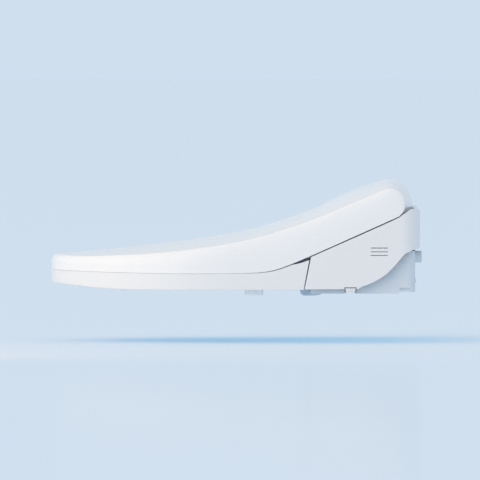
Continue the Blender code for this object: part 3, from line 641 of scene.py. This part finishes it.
def nose_point(share, v):
    """(radius, angle) about the axis on the rolled end of the lid. It leaves the top smoothly at every v."""
    y, z = LID_REAR_SIDE_Y - AXIS[0], lid_top(LID_REAR_SIDE_Y, v) - AXIS[1]
    start = math.atan2(z, y)
    a = start + (math.radians(NOSE_END) - start) * share
    r = math.hypot(y, z)
    r += (NOSE_SIDE_R + (NOSE_CROWN_R - NOSE_SIDE_R) * (1 - v**CROWN_POWER) - r) * share
    return r, a


def lid_rib(kind, where, sign, wall):
    """Points of one rib of the lid, from its lower edge, over the rounded rim and in to the middle."""
    width = HALF_WIDTH - wall
    if kind == "front":
        foot = Vector((*where, split_z(where[1]) + split_gap(where[1])))
        reach = math.hypot(where[0], where[1] - FRONT_CENTRE_Y)

        def top(v):
            y = FRONT_CENTRE_Y + (where[1] - FRONT_CENTRE_Y) * v
            return Vector((where[0] * v, y, lid_top(y, v) - wall))
    elif kind == "side":
        foot = Vector((sign * width, where, split_z(where) + split_gap(where)))
        reach = width

        def top(v):
            return Vector((sign * width * v, where, lid_top(where, v) - wall))
    else:
        foot = Vector((sign * width, *nose_foot(where)))
        reach = width

        def top(v):
            r, a = nose_point(where, v)
            r -= wall
            return Vector((sign * width * v, AXIS[0] + r * math.cos(a), AXIS[1] + r * math.sin(a)))

    rise = top(1.0) - foot
    inset = min(max(LID_EDGE_R - wall, 1.0), 0.45 * rise.length)
    drop = min(LID_BULGE * rise.length, rise.length - 1.5 * inset)
    down = rise.normalized()
    rib = [foot]
    for degrees in RIM_DEGREES:
        b = math.radians(degrees)
        rib.append(top(1 - inset * (1 - math.cos(b)) / reach) - down * drop * (1 - math.sin(b)))
    edge = 1 - inset / reach
    return rib + [top(edge * (1 - share**1.15)) for share in even_steps(0.0, 1.0, 26)]


def lid_stations(wall):
    sides = even_steps(LID_REAR_SIDE_Y, -161.0, 34)
    nose = even_steps(1.0, 0.0, 40)[:-1]
    stations = [("nose", share, -1) for share in nose] + [("side", y, -1) for y in sides]
    stations += [("front", point, 0) for point in plan_outline(wall, 120, ())]
    stations += [("side", y, 1) for y in reversed(sides)]
    stations += [("nose", share, 1) for share in reversed(nose)]
    return [lid_rib(kind, where, sign, wall) for kind, where, sign in stations]


def lid_shell():
    """A skin over the stations, inside and out, with no wall along the middle, where its halves meet."""
    sections = [out + inner[::-1] for out, inner in zip(lid_stations(0.0), lid_stations(WALL))]
    count = len(sections[0])
    half = count // 2
    points = [point for section in sections for point in section]
    faces = []
    for i in range(len(sections) - 1):
        a = i * count
        b = a + count
        for k in range(count):
            if k != half - 1:
                faces.append([a + k, a + (k + 1) % count, b + (k + 1) % count, b + k])
    for a in (0, (len(sections) - 1) * count):
        faces += [[a + k, a + k + 1, a + count - 2 - k, a + count - 1 - k] for k in range(half - 1)]
    add_piece(from_faces(points, faces), "lid_shell", edge=0.7, steps=3, sharp=38)


# ---------------------------------------------------------------- seat


def seat_outline():
    """Outer (x, y) points round the ring from its rear right corner, and those of its opening."""
    outer = plan_outline(0.0, 120, even_steps(SEAT_REAR_Y, -160.0, 16))
    outer += [(x, SEAT_REAR_Y) for x in even_steps(HALF_WIDTH, -HALF_WIDTH, 44)[1:-1]]
    inner = []
    for x, y in outer:
        a = math.atan2(y - OPENING_CENTRE_Y, x)
        c = abs(math.cos(a)) / OPENING_HALF_WIDTH
        s = abs(math.sin(a)) / OPENING_HALF_LENGTH
        r = (c**OPENING_POWER + s**OPENING_POWER) ** (-1 / OPENING_POWER)
        inner.append((r * math.cos(a), OPENING_CENTRE_Y + r * math.sin(a)))
    return outer, inner


def seat_bottom(x, y):
    """Lower edge height: lifted at the front tip, and arched over the nozzles at the rear."""
    tip = clamped((-320.0 - y) / 110.0)
    across = max(0.0, 1 - (abs(x) / 75.0) ** 2)
    along = clamped((y + 125.0) / 25.0)
    return SEAT_BOTTOM_Z + SEAT_TIP_LIFT * tip**1.4 + NOZZLE_ARCH_RISE * min(1.0, 2 * across) * along


def seat_top(y, w):
    """Top height: w goes from 0 at the outer edge to 1 at the opening."""
    rise = SEAT_CROWN * math.sin(math.pi * min(w / 0.5, 1.0) / 2)
    dip = 9.0 * max(0.0, (w - 0.5) / 0.5) ** 2.2
    return split_z(y) - split_gap(y) + rise - dip


def seat_point(out_point, in_point, w, z):
    """A point of the ring; its rear end follows the slanted seam with the unit."""
    x = out_point[0] + (in_point[0] - out_point[0]) * w
    y = out_point[1] + (in_point[1] - out_point[1]) * w
    if out_point[1] > -90.0:
        near = clamped((y + 110.0) / 30.0)
        y += (seam_y(z) - 1.3 - SEAT_REAR_Y) * near
    return (x, y, z)


def seat_section(out_point, in_point, wall):
    """One cross-section: up the outer side, over the top, down to the opening."""
    reach = math.dist(out_point, in_point)
    start = wall / reach
    end = 1 - start
    outer_r, inner_r = 0.9, 5.0

    def over(w, drop):
        y = out_point[1] + (in_point[1] - out_point[1]) * w
        return seat_point(out_point, in_point, w, seat_top(y, w) - wall - drop)

    section = [seat_point(out_point, in_point, start, seat_bottom(*out_point))]
    turn = [math.radians(degrees) for degrees in range(0, 91, 15)]
    section += [over(start + outer_r * (1 - math.cos(a)) / reach, outer_r * (1 - math.sin(a))) for a in turn]
    section += [over(w, 0.0) for w in even_steps(start + outer_r / reach, end - inner_r / reach, 16)[1:-1]]
    turn.reverse()
    section += [over(end - inner_r * (1 - math.cos(a)) / reach, inner_r * (1 - math.sin(a))) for a in turn]
    section.append(seat_point(out_point, in_point, end, seat_bottom(*in_point)))
    return section


def seat_ring():
    shell = []
    plate = []
    gap, inset, thick = 0.3, 2.0, 2.2
    for out_point, in_point in zip(*seat_outline()):
        outside = seat_section(out_point, in_point, 0.0)
        shell.append(outside + seat_section(out_point, in_point, WALL)[::-1])
        edge = (WALL + gap) / math.dist(out_point, in_point)
        low = seat_bottom(*out_point) + inset
        low_in = seat_bottom(*in_point) + inset
        corners = [(edge, low), (edge, low + thick)]
        corners += [(w, low + thick + (low_in - low) * (w - edge) / (1 - 2 * edge)) for w in (0.3, 0.7)]
        corners += [(1 - edge, low_in + thick), (1 - edge, low_in)]
        plate.append([seat_point(out_point, in_point, w, z) for w, z in corners])
    add_piece(loft(shell, True), "seat_top_shell", edge=0.6, steps=2, sharp=40, material=SHADED_CASING_WHITE)
    add_piece(loft(plate, True), "seat_base_plate", edge=0.4, steps=2, sharp=40)


def seat_arms():
    """Two arms lie along the shoulder under the lid and carry the ring on the hinge axis."""
    boss = arc(AXIS, ARM_R, 120, -152, 48)
    lower = [(20.5, 121.0), (16.5, 118.3)]
    lower += [(y, split_z(y) + ARM_LOW) for y in (6.0, -20.0, -40.0, -55.0, -70.0, -80.0, -90.0)]
    toe = [(y, (ARM_HIGH - ARM_LOW) * (y + 94.0) / 24.0) for y in (-90.0, -70.0)]
    upper = [(y, split_z(y) + ARM_LOW + rise) for y, rise in toe]
    upper += [(-40.0, split_z(-40.0) + ARM_HIGH), (-5.0, 108.0), (20.5, 134.0)]
    pocket = [(y, split_z(y) + 9.0) for y in (-62.0, -36.0, 0.0)]
    pocket += [(-2.0, 102.0), (-38.0, 79.0), (-60.0, split_z(-60.0) + 11.5)]
    for side, sign, bore in (("left", 1, TIGHT_BORE_R), ("right", -1, FREE_BORE_R)):
        x0, x1 = mirrored(ARM_X, sign)
        arm = extruded(lower + upper + boss, "x", x0, x1)
        arm = cut(arm, circle(AXIS, bore), "x", x0 - 1, x1 + 1)
        arm = cut(arm, pocket, "x", *mirrored((168.5, 175.0), sign))
        merge_flat_faces(arm)
        add_piece(arm, f"seat_arm_{side}", edge=0.8, steps=3)


def bumper(x, y, bottom, grooved):
    """A rubber foot with a rounded lower edge under the ring. The large ones have a groove across."""
    top = seat_bottom(abs(x), (y[0] + y[1]) / 2) + 1.7
    sections = []
    for degrees in range(0, 91, 15):
        shrink = 1.6 * (1 - math.sin(math.radians(degrees)))
        z = bottom + 1.2 * (1 - math.cos(math.radians(degrees)))
        p = (x - 9 + shrink, x + 9 - shrink)
        outline = rounded_box_outline(p, (y[0] + shrink, y[1] - shrink), 5.0)
        sections.append([(a, b, z) for a, b in outline])
    sections.append([(a, b, top) for a, b, _ in sections[-1]])
    foot = loft(sections)
    if grooved:
        foot = combine(foot, box((x - 5.5, x + 5.5), (y[0] + 9, y[1] - 9), (bottom - 1, bottom + 0.8)))
    return foot


def bumpers():
    low = split_z(STOP_Y) + SEAT_CROWN + 1.2
    stop = [(low, 0), (low, 3.6), (low + 0.5, 5.0), (low + 1.6, 5.8), (low + 3.0, 6.0)]
    stop += [(46.0, 6.0), (46.0, 0)]
    for side, sign in SIDES:
        rear = bumper(sign * 163.0, (-157.3, -131.4), -2.3, True)
        add_piece(rear, f"seat_bumper_rear_{side}", edge=0.2, steps=2)
        front = bumper(sign * 116.0, (-334.0, -319.0), 3.9, False)
        add_piece(front, f"seat_bumper_front_{side}", edge=0.2, steps=2)
        add_piece(lathe("z", (sign * STOP_X, STOP_Y), stop, 48), f"lid_stop_{side}")


# ---------------------------------------------------------------- hinge pieces


def tube_profile(low, high, outer, inner, edge=0.5):
    """A bored cylinder's closed outline with small chamfers."""
    outside = [(low, inner + edge), (low, outer - edge), (low + edge, outer), (high - edge, outer)]
    return outside + [(high, outer - edge), (high, inner + edge), (high - edge, inner), (low + edge, inner)]


def hinge_axle():
    """Bushes, damper shafts and grooved damper housings, all on the hinge axis."""
    for side, sign, bore in (("left", 1, FREE_BORE_R), ("right", -1, TIGHT_BORE_R)):
        profile = tube_profile(*mirrored(BUSH_X, sign), DAMPER_R, bore)
        add_piece(lathe("x", AXIS, profile, bored=True), f"lid_bush_{side}")
    for name, sign in (("seat_damper_shaft", 1), ("lid_damper_shaft", -1)):
        low, high = mirrored(SHAFT_X, sign)
        profile = [(low, 0), (low, 4.2), (low + 0.8, 5.0), (high - 0.8, 5.0), (high, 4.2), (high, 0)]
        add_piece(lathe("x", AXIS, profile), name)
    housing = [(86.0, 0), (86.0, 10.5), (87.5, DAMPER_R)]
    for x in (91.0, 95.0, 99.0):
        housing += [(x, DAMPER_R), (x + 0.4, 11.4), (x + 1.4, 11.4), (x + 1.8, DAMPER_R)]
    housing += [(146.2, DAMPER_R), (147.0, 11.2), (147.0, 6.0), (146.5, 5.5), (90.0, 5.5), (90.0, 0)]
    for name, sign in (("seat_damper_housing", 1), ("lid_damper_housing", -1)):
        add_piece(lathe("x", AXIS, [(sign * a, r) for a, r in housing]), name)


def hinge_brackets():
    boss = arc(AXIS, BRACKET_R, -146, 118, 48)
    outline = [(y, split_z(y) - 2.6) for y in (-20.0, -5.0, 10.0)]
    outline += [(15.5, 110.0), (16.3, 118.0), (20.5, 120.3)] + boss + [(20.0, 138.0), (-10.0, 110.0)]
    pocket = [(-10.0, 84.0), (6.0, 92.0), (12.0, 112.0), (14.0, 126.0), (-4.0, 110.0)]
    for side, sign in SIDES:
        x0, x1 = mirrored(BRACKET_X, sign)
        bracket = cut(extruded(outline, "x", x0, x1), circle(AXIS, DAMPER_R + 0.3), "x", x0 - 1, x1 + 1)
        for face in (x0, x1):
            bracket = cut(bracket, pocket, "x", face - 2.5, face + 2.5)
        merge_flat_faces(bracket)
        add_piece(bracket, f"hinge_bracket_{side}", edge=0.8, steps=3)


# ---------------------------------------------------------------- unit shells


def unit_plan(inset, front_y):
    width = HALF_WIDTH - inset
    radius = REAR_CORNER_R - inset
    rear = REAR_Y - inset
    outline = [(-width, front_y), (width, front_y)]
    outline += arc((width - radius, rear - radius), radius, 0, 90, 28)
    return outline + arc((radius - width, rear - radius), radius, 90, 180, 28)


def deck_profile(offset, radius, end_angle):
    """The shoulder line and then the trough round the hinge, from the front to the rear."""
    y = AXIS[0] - radius
    while math.hypot(y - AXIS[0], split_z(y) - offset - AXIS[1]) > radius:
        y += 0.1
    start = math.degrees(math.atan2(split_z(y) - offset - AXIS[1], y - AXIS[0])) % 360
    line = [(at, split_z(at) - offset) for at in even_steps(-66.0, y - 6.0, 12)]
    return line + arc(AXIS, radius, start, 360 + end_angle, 48)


def casing_side_profile():
    """Outline of the casing's side: split line, bend round the lid's end, rear, and lower rear cut-away."""
    line = [(y, split_z(y) - CASING_DROP) for y in even_steps(SEAM_HIGH[0], 48.0, 26)]
    bend = arc(AXIS, NOSE_SWEEP_R, 294.0, 314.0, 12)
    rear = [(75.0, 118.5)] + arc((84.0, 115.0), 4.0, 80, 0, 8)
    cut_away = [(88.0, 63.5), (79.0, 61.5), (72.0, 58.5), (64.6, 53.4)]
    cut_away += [(52.0, 38.8), (38.3, 25.8), (22.0, 16.0), (6.8, 10.2)]
    return line + bend + rear + rounded_path(cut_away, 7) + [(2.0, 6.8), (-72.6, 6.2), SEAM_LOW]


def upper_casing():
    """A hollow shell from its side and its plan, with openings for the chin, the key, vents and buttons."""
    casing = extruded(casing_side_profile(), "x", -HALF_WIDTH, HALF_WIDTH)
    casing = combine(casing, extruded(unit_plan(0.0, -120), "z", -20, 140), "INTERSECT")
    inner = [(-76.0, -20.0), (-76.0, 1.0), (-70.2, 7.5), (-62.4, split_z(-62.4) - 6.0)]
    inner += [point for point in deck_profile(6.0, TROUGH_R + WALL, -19.0) if point[0] > -62.0]
    inner += [(REAR_Y - WALL, 110.0), (REAR_Y - WALL, -20.0)]
    hollow = extruded(inner, "x", -CASING_SKIN_X, CASING_SKIN_X)
    casing = combine(casing, combine(hollow, extruded(unit_plan(WALL, -120), "z", -30, 150), "INTERSECT"))
    recess = deck_profile(3.0, TROUGH_R, -13.0)
    recess = [(-100.0, recess[0][1])] + recess + [(recess[-1][0], 160.0), (-100.0, 160.0)]
    deck = extruded(recess, "x", 0.4 - CASING_SKIN_X, CASING_SKIN_X - 0.4)
    casing = combine(casing, combine(deck, extruded(unit_plan(WALL + 0.4, -120), "z", -30, 170), "INTERSECT"))
    casing = combine(casing, box((-67.4, 67.4), (-90, -46), (-20, 21.6)))
    casing = combine(casing, box((170, 200), (-18, -1), (-20, 9)))
    for z in (53.7, 58.8, 64.1):
        slot = rounded_box_outline((18.9, 42.8), (z - 0.5, z + 0.5), 0.45, 5)
        casing = cut(casing, slot, "x", 180, 200)
    for y, radius in [*AUX_BUTTONS.values(), LENS]:
        casing = cut(casing, circle((y, BUTTON_Z), radius + 0.4), "x", -200, -180)
    merge_flat_faces(casing)
    add_piece(casing, "upper_casing", edge=0.9, steps=3, sharp=32, material=SHADED_CASING_WHITE)


def pan_plan(inset, front_y):
    radius = PAN_CORNER_R - inset
    side = PAN_HALF_X - inset
    rear = PAN_REAR_Y - inset
    outline = [(-side, front_y), (side, front_y)]
    outline += arc((side - radius, rear - radius), radius, 0, 90, 16)
    return outline + arc((radius - side, rear - radius), radius, 90, 180, 16)


def base_pan():
    """A tray from its side and its plan, with room for the chin, the plate, the key, pipes and the cord."""
    rear, wall = PAN_REAR_Y, PAN_WALL
    side = [(-65.0, 0), (58.0, 0), (60.0, 2.2), (rear, 2.2), (rear, 60.0), (8.0, 60.0)]
    pan = extruded(side + [(-48.0, 28.0), (-65.0, 28.0)], "x", -PAN_HALF_X, PAN_HALF_X)
    pan = combine(pan, extruded(pan_plan(0.0, -66), "z", -20, 80), "INTERSECT")
    floor = [(-62.5, 2.5), (-44.0, 2.5), (-44.0, 7.0), (40.0, 7.0), (40.0, 2.5), (56.0, 2.5), (58.0, 4.7)]
    floor += [(rear - wall, 4.7), (rear - wall, 90), (-62.5, 90)]
    hollow = extruded(floor, "x", wall - PAN_HALF_X, PAN_HALF_X - wall)
    pan = combine(pan, combine(hollow, extruded(pan_plan(wall, -67), "z", -30, 100), "INTERSECT"))
    pan = combine(pan, box((-67.6, 67.6), (-90, -46), (-20, 40)))
    pan = combine(pan, box((-100.6, 100.6), (-36.6, 36.6), (-5, 4.3)))
    pan = combine(pan, box((138, 190), (-18, -1), (-5, 8.7)))
    for _, sign in SIDES:
        groove = mirrored((PAN_HALF_X - 2.2, PAN_HALF_X + 4), sign)
        pan = combine(pan, box(groove, (60.5, 95.0), (4.6, 7.8)))
    for centre, radius in ((INLET, 7.4), (DRAIN, 3.4)):
        pan = cut(pan, circle(centre, radius), "y", 70, 90)
    pan = cut(pan, circle(CORD, 5.4), "x", -190, -165)
    merge_flat_faces(pan)
    add_piece(pan, "base_pan", edge=0.6, steps=2, sharp=32)


def nozzle_housing():
    """The chin, with the bay that the nozzles leave by and the dryer's outlet."""
    front = [(-80.3, 4.7), (-80.1, 3.0), (-79.0, -0.5), (-77.4, -3.4), (-75.0, -4.7), (-73.1, -5.0)]
    back = [(-61.2, -5.0), (-51.2, -3.6), (-47.0, -0.5), (-46.6, 3.0)]
    outline = rounded_path(front, 5) + rounded_path(back, 5)
    outline += [(-46.6, 20.8), (-70.0, 20.8), (-72.8, 6.0), (-73.2, 4.7)]
    bay = [(-64.0, 0.0), (-77.5, -6.6), (-90.0, -6.6), (-90.0, 40.0), (-40.0, 40.0), (-40.0, 9.0)]
    chin = cut(extruded(outline, "x", -66.8, 66.8), bay, "x", -19.0, 19.0)
    duct = [(-90, -3.0), (-90, 3.7), (-70.5, 3.7), (-66.0, 17.8)]
    duct += [(-40, 17.8), (-40, 3.0), (-66.0, 3.0), (-71.0, -3.0)]
    chin = cut(chin, duct, "x", 27.0, 59.0)
    merge_flat_faces(chin)
    add_piece(chin, "nozzle_housing", edge=0.5, steps=3, sharp=32)


def mounting():
    """The plate, with a slot for each bolt's adjuster and three shallow pockets below."""
    plate = extruded(rounded_box_outline((-100.0, 100.0), (-36.0, 36.0), 8.0, 10), "z", 0, 4.0)
    for side, sign in SIDES:
        x = sign * BOLT_X
        plate = cut(plate, rounded_box_outline((x - 5.5, x + 5.5), (-20, 20), 2.0), "z", -2, 6)
        slider = extruded(rounded_box_outline((x - 5.2, x + 5.2), (-9, 9), 1.6), "z", 0.4, 3.8)
        slider = cut(slider, circle((x, 0), 3.3), "z", -2, 8)
        for y in (-7.4, -6.2, 6.2, 7.4):
            slider = combine(slider, box((x - 6, x + 6), (y - 0.3, y + 0.3), (-1, 0.8)))
        add_piece(slider, f"bolt_adjuster_{side}", edge=0.2, steps=2)
    for x in (-30.0, 0.0, 30.0):
        plate = cut(plate, rounded_box_outline((x - 10, x + 10), (-22, 22), 3.0), "z", -1, 1.2)
    merge_flat_faces(plate)
    add_piece(plate, "mounting_plate", edge=0.4, steps=2)


# ---------------------------------------------------------------- nozzles


def on_nozzle_line(data):
    """Moves a mesh made in (x, along the line, across it) onto the line, with its zero at the tips."""
    data.transform(Matrix.Translation(NOZZLE_TIP) @ Matrix.Rotation(NOZZLE_ANGLE, 4, "X"))
    return data


def rack_outline():
    """The rack along the top of a nozzle, with its teeth in step with the pinion's."""
    pitch = 2 * math.pi * PINION_R / PINION_TEETH
    first = PINION_PLACE + pitch / 2
    count = int((NOZZLE_LENGTH - RACK_START) / pitch)
    teeth = [first + pitch * k for k in range(-2, count)]
    outline = [(NOZZLE_LENGTH, 5.2), (NOZZLE_LENGTH, RACK_ROOT)]
    for t in reversed(teeth):
        if RACK_START + 1.2 < t < NOZZLE_LENGTH - 1.2:
            outline += [(t + 0.85, RACK_ROOT), (t + 0.4, RACK_TIP - 0.15), (t + 0.25, RACK_TIP)]
            outline += [(t - 0.25, RACK_TIP), (t - 0.4, RACK_TIP - 0.15), (t - 0.85, RACK_ROOT)]
    return outline + [(RACK_START, RACK_ROOT), (RACK_START, 5.2)]


def nozzles():
    end = NOZZLE_LENGTH
    barrel_profile = [(14.3, 0), (14.3, 5.6), (14.7, 6.0), (20.0, 6.0), (20.2, 5.8), (20.8, 5.8), (21.0, 6.0)]
    barrel_profile += [(end - 0.5, 6.0), (end, 5.5), (end, 0)]
    turn = [math.radians(degrees) for degrees in range(8, 91, 8)]
    tip_profile = [(0, 0)] + [(4.5 - 4.5 * math.cos(a), 3.0 + 3.0 * math.sin(a)) for a in turn]
    tip_profile += [(13.7, 6.0), (14.0, 5.7), (14.0, 0)]
    for name, sign, holes in (("rear_wash", 1, 3), ("front_wash", -1, 2)):
        x = sign * NOZZLE_X
        rack = extruded(rack_outline(), "x", x - 2.2, x + 2.2)
        barrel = combine(lathe("y", (x, 0), barrel_profile), rack, "UNION")
        add_piece(on_nozzle_line(barrel), f"{name}_nozzle", sharp=40)
        tip = lathe("y", (x, 0), tip_profile)
        tip = cut(tip, rounded_box_outline((x - 2.4, x + 2.4), (2.6, 12.4), 2.2), "z", 5.45, 9)
        for k in range(holes):
            tip = cut(tip, circle((x, 4.5 + 3.0 * k), 0.7, 24), "z", 2.5, 8)
        add_piece(on_nozzle_line(tip), f"{name}_nozzle_tip", sharp=40)


# ---------------------------------------------------------------- small outside pieces


def keys():
    for name, (y, radius) in AUX_BUTTONS.items():
        profile = [(-190.35, 0), (-190.42, radius * 0.4), (-190.7, radius * 0.78), (-190.8, radius - 0.8)]
        profile += [(-190.6, radius - 0.25), (-190.1, radius), (-186.6, radius), (-186.6, radius + 2)]
        profile += [(-184.0, radius + 2), (-184.0, 0)]
        add_piece(lathe("x", (y, BUTTON_Z), profile), name)
    y, radius = LENS
    profile = [(-190.2, 0), (-190.18, radius * 0.5), (-190.05, radius * 0.85)]
    profile += [(-189.8, radius), (-186, radius), (-186, 0)]
    add_piece(lathe("x", (y, BUTTON_Z), profile), "status_lens", material=lens_plastic())
    outline = [(-16.9, 7.9), (-15.0, 1.0), (-4.0, 1.0), (-2.1, 7.9)]
    key = extruded(outline, "x", 152, 189.2)
    for z in (2.6, 4.0, 5.4):
        key = combine(key, box((188.8, 192), (-13.2, -5.8), (z - 0.25, z + 0.25)))
    merge_flat_faces(key)
    add_piece(key, "release_button", edge=0.35, steps=3)


def water_inlet():
    thread = []
    for i in range(6):
        a = 83.2 + i * 1.25
        thread += [(a, 7.7), (a + 0.35, 8.4), (a + 0.65, 8.4), (a + 1.0, 7.7)]
    profile = [(72.0, 5.0), (72.0, 6.7), (72.3, 7.0), (81.6, 7.0), (81.6, 8.4), (82.6, 8.4), (82.8, 7.7)]
    profile += thread + [(90.8, 7.7), (91.1, 7.4), (91.1, 5.0), (90.7, 4.6)]
    profile += [(76.0, 4.6), (76.0, 4.4), (72.0, 4.4)]
    add_piece(lathe("y", INLET, profile, bored=True), "water_inlet", sharp=25)


def drain_plug():
    profile = [(72.0, 0), (72.0, 2.4), (81.6, 2.4), (81.6, 4.2), (81.9, 4.4), (82.9, 4.4), (83.2, 4.1)]
    profile += [(83.2, 2.5), (86.0, 2.3), (86.4, 1.8), (86.4, 0)]
    plug = lathe("y", DRAIN, profile, 48)
    plug = combine(plug, box((-137, -131), (85.6, 88.0), (11.8, 12.8)))
    add_piece(plug, "drain_plug", edge=0.1, steps=2)


def cord_gland():
    profile = [(-169.0, 3.4), (-169.0, 5.0), (-176.3, 5.0), (-176.3, 7.3), (-176.6, 7.5), (-178.0, 7.5)]
    profile += [(-178.2, 6.9), (-178.8, 6.9), (-179.0, 7.1), (-179.6, 7.1), (-179.8, 6.5), (-180.4, 6.5)]
    profile += [(-180.6, 6.7), (-181.6, 6.4), (-182.0, 5.8), (-182.0, 3.8), (-181.6, 3.4)]
    add_piece(lathe("x", CORD, profile, bored=True), "cord_gland", sharp=25)


def dryer_flap():
    flap = extruded([(-79.4, 3.1), (-77.9, 3.1), (-75.7, -2.2), (-77.2, -2.2)], "x", 27.5, 58.5)
    add_piece(flap, "dryer_flap", edge=0.3, steps=3)


# ---------------------------------------------------------------- carried-over nodes


def finish_cad_nodes():
    """Gives every CAD node that still shows its finish, with softened edges."""
    for name, node in frame["nodes"].items():
        if node.hide_render:
            continue
        node.data.materials.clear()
        node.data.materials.append(MATERIALS[slot_of_node[name]])
        weld = node.modifiers.new("weld", "WELD")
        weld.merge_threshold = 0.00001
        flat = node.modifiers.new("flat", "DECIMATE")
        flat.decimate_type = "DISSOLVE"
        flat.angle_limit = math.radians(1.0)
        round_edges(node, 0.4, 2, 32)


# ---------------------------------------------------------------- stage


def point_away(obj, away):
    """Turns a light or camera so that its back faces this way."""
    obj.rotation_mode = "QUATERNION"
    obj.rotation_quaternion = away.to_track_quat("Z", "Y")


def add_light(name, kind, power):
    data = bpy.data.lights.new(name, kind)
    data.energy = power
    data.color = LIGHT_COLOUR
    return add_object(name, data)


def make_lights():
    sun = add_light("sun", "SUN", SUN_POWER)
    sun.data.angle = math.radians(SUN_WIDTH)
    sun.visible_glossy = False
    point_away(sun, Vector(SUN_FROM))
    softbox = add_light("softbox", "AREA", SOFTBOX_POWER)
    softbox.data.size = SOFTBOX_SIZE
    softbox.location = SOFTBOX_PLACE
    point_away(softbox, Vector(SOFTBOX_PLACE) - Vector(SOFTBOX_AIM))


def floor_material():
    """Pale matt floor with a blurred sheen. Part of its colour is its own, so it meets the backdrop."""
    made = Shader("floor", Specular_IOR_Level=0.0, Emission_Strength=1.0)
    made.colour(made.noise(1.3, 2), FLOOR_DARK, FLOOR_LIGHT)
    made.shader.inputs["Emission Color"].default_value = (*FLOOR_GLOW, 1)
    made.shader.inputs["Roughness"].default_value = FLOOR_ROUGHNESS
    sheen = made.tree.nodes.new("ShaderNodeBsdfGlossy")
    sheen.inputs["Roughness"].default_value = SHEEN_ROUGHNESS
    mixed = made.tree.nodes.new("ShaderNodeMixShader")
    mixed.inputs["Fac"].default_value = FLOOR_SHEEN
    made.link(made.shader.outputs["BSDF"], mixed.inputs[1])
    made.link(sheen.outputs["BSDF"], mixed.inputs[2])
    made.link(mixed.outputs["Shader"], made.tree.nodes["Material Output"].inputs["Surface"])
    return made.material


def make_backdrop():
    world = bpy.data.worlds.new("pale_blue")
    world.use_nodes = True
    background = world.node_tree.nodes["Background"]
    direction = world.node_tree.nodes.new("ShaderNodeTexCoord")
    height = world.node_tree.nodes.new("ShaderNodeSeparateXYZ")
    sky = world.node_tree.nodes.new("ShaderNodeValToRGB")
    sky.color_ramp.elements[0].position = 0.2
    sky.color_ramp.elements[0].color = (*BACKGROUND, 1)
    sky.color_ramp.elements[1].position = 0.7
    sky.color_ramp.elements[1].color = (*SKY_TOP, 1)
    world.node_tree.links.new(direction.outputs["Generated"], height.inputs["Vector"])
    world.node_tree.links.new(height.outputs["Z"], sky.inputs["Fac"])
    world.node_tree.links.new(sky.outputs["Color"], background.inputs["Color"])
    bpy.context.scene.world = world
    bpy.context.scene.view_settings.view_transform = "Standard"


def make_floor():
    mesh = bpy.data.meshes.new("floor")
    corners = [(x * FLOOR_REACH, y * FLOOR_REACH, FLOOR_Z) for x, y in ((-1, -1), (1, -1), (1, 1), (-1, 1))]
    mesh.from_pydata(corners, [], [(0, 1, 2, 3)])
    mesh.materials.append(floor_material())
    floor = add_object("floor", mesh)


def make_camera():
    data = bpy.data.cameras.new("camera")
    data.sensor_width = 36.0
    data.lens = data.sensor_width * CAMERA_DISTANCE / FRAME_WIDTH
    data.clip_start = 0.1
    data.clip_end = 200.0
    camera = add_object("camera", data)
    away = Vector((math.cos(CAMERA_ELEVATION), 0.0, math.sin(CAMERA_ELEVATION)))
    camera.location = Vector(AIM) + away * CAMERA_DISTANCE
    point_away(camera, away)
    bpy.context.scene.camera = camera


make_backdrop()
make_floor()
make_lights()
make_camera()
lid_shell()
seat_ring()
seat_arms()
bumpers()
hinge_axle()
hinge_brackets()
upper_casing()
base_pan()
nozzle_housing()
mounting()
nozzles()
keys()
water_inlet()
drain_plug()
cord_gland()
dryer_flap()
finish_cad_nodes()
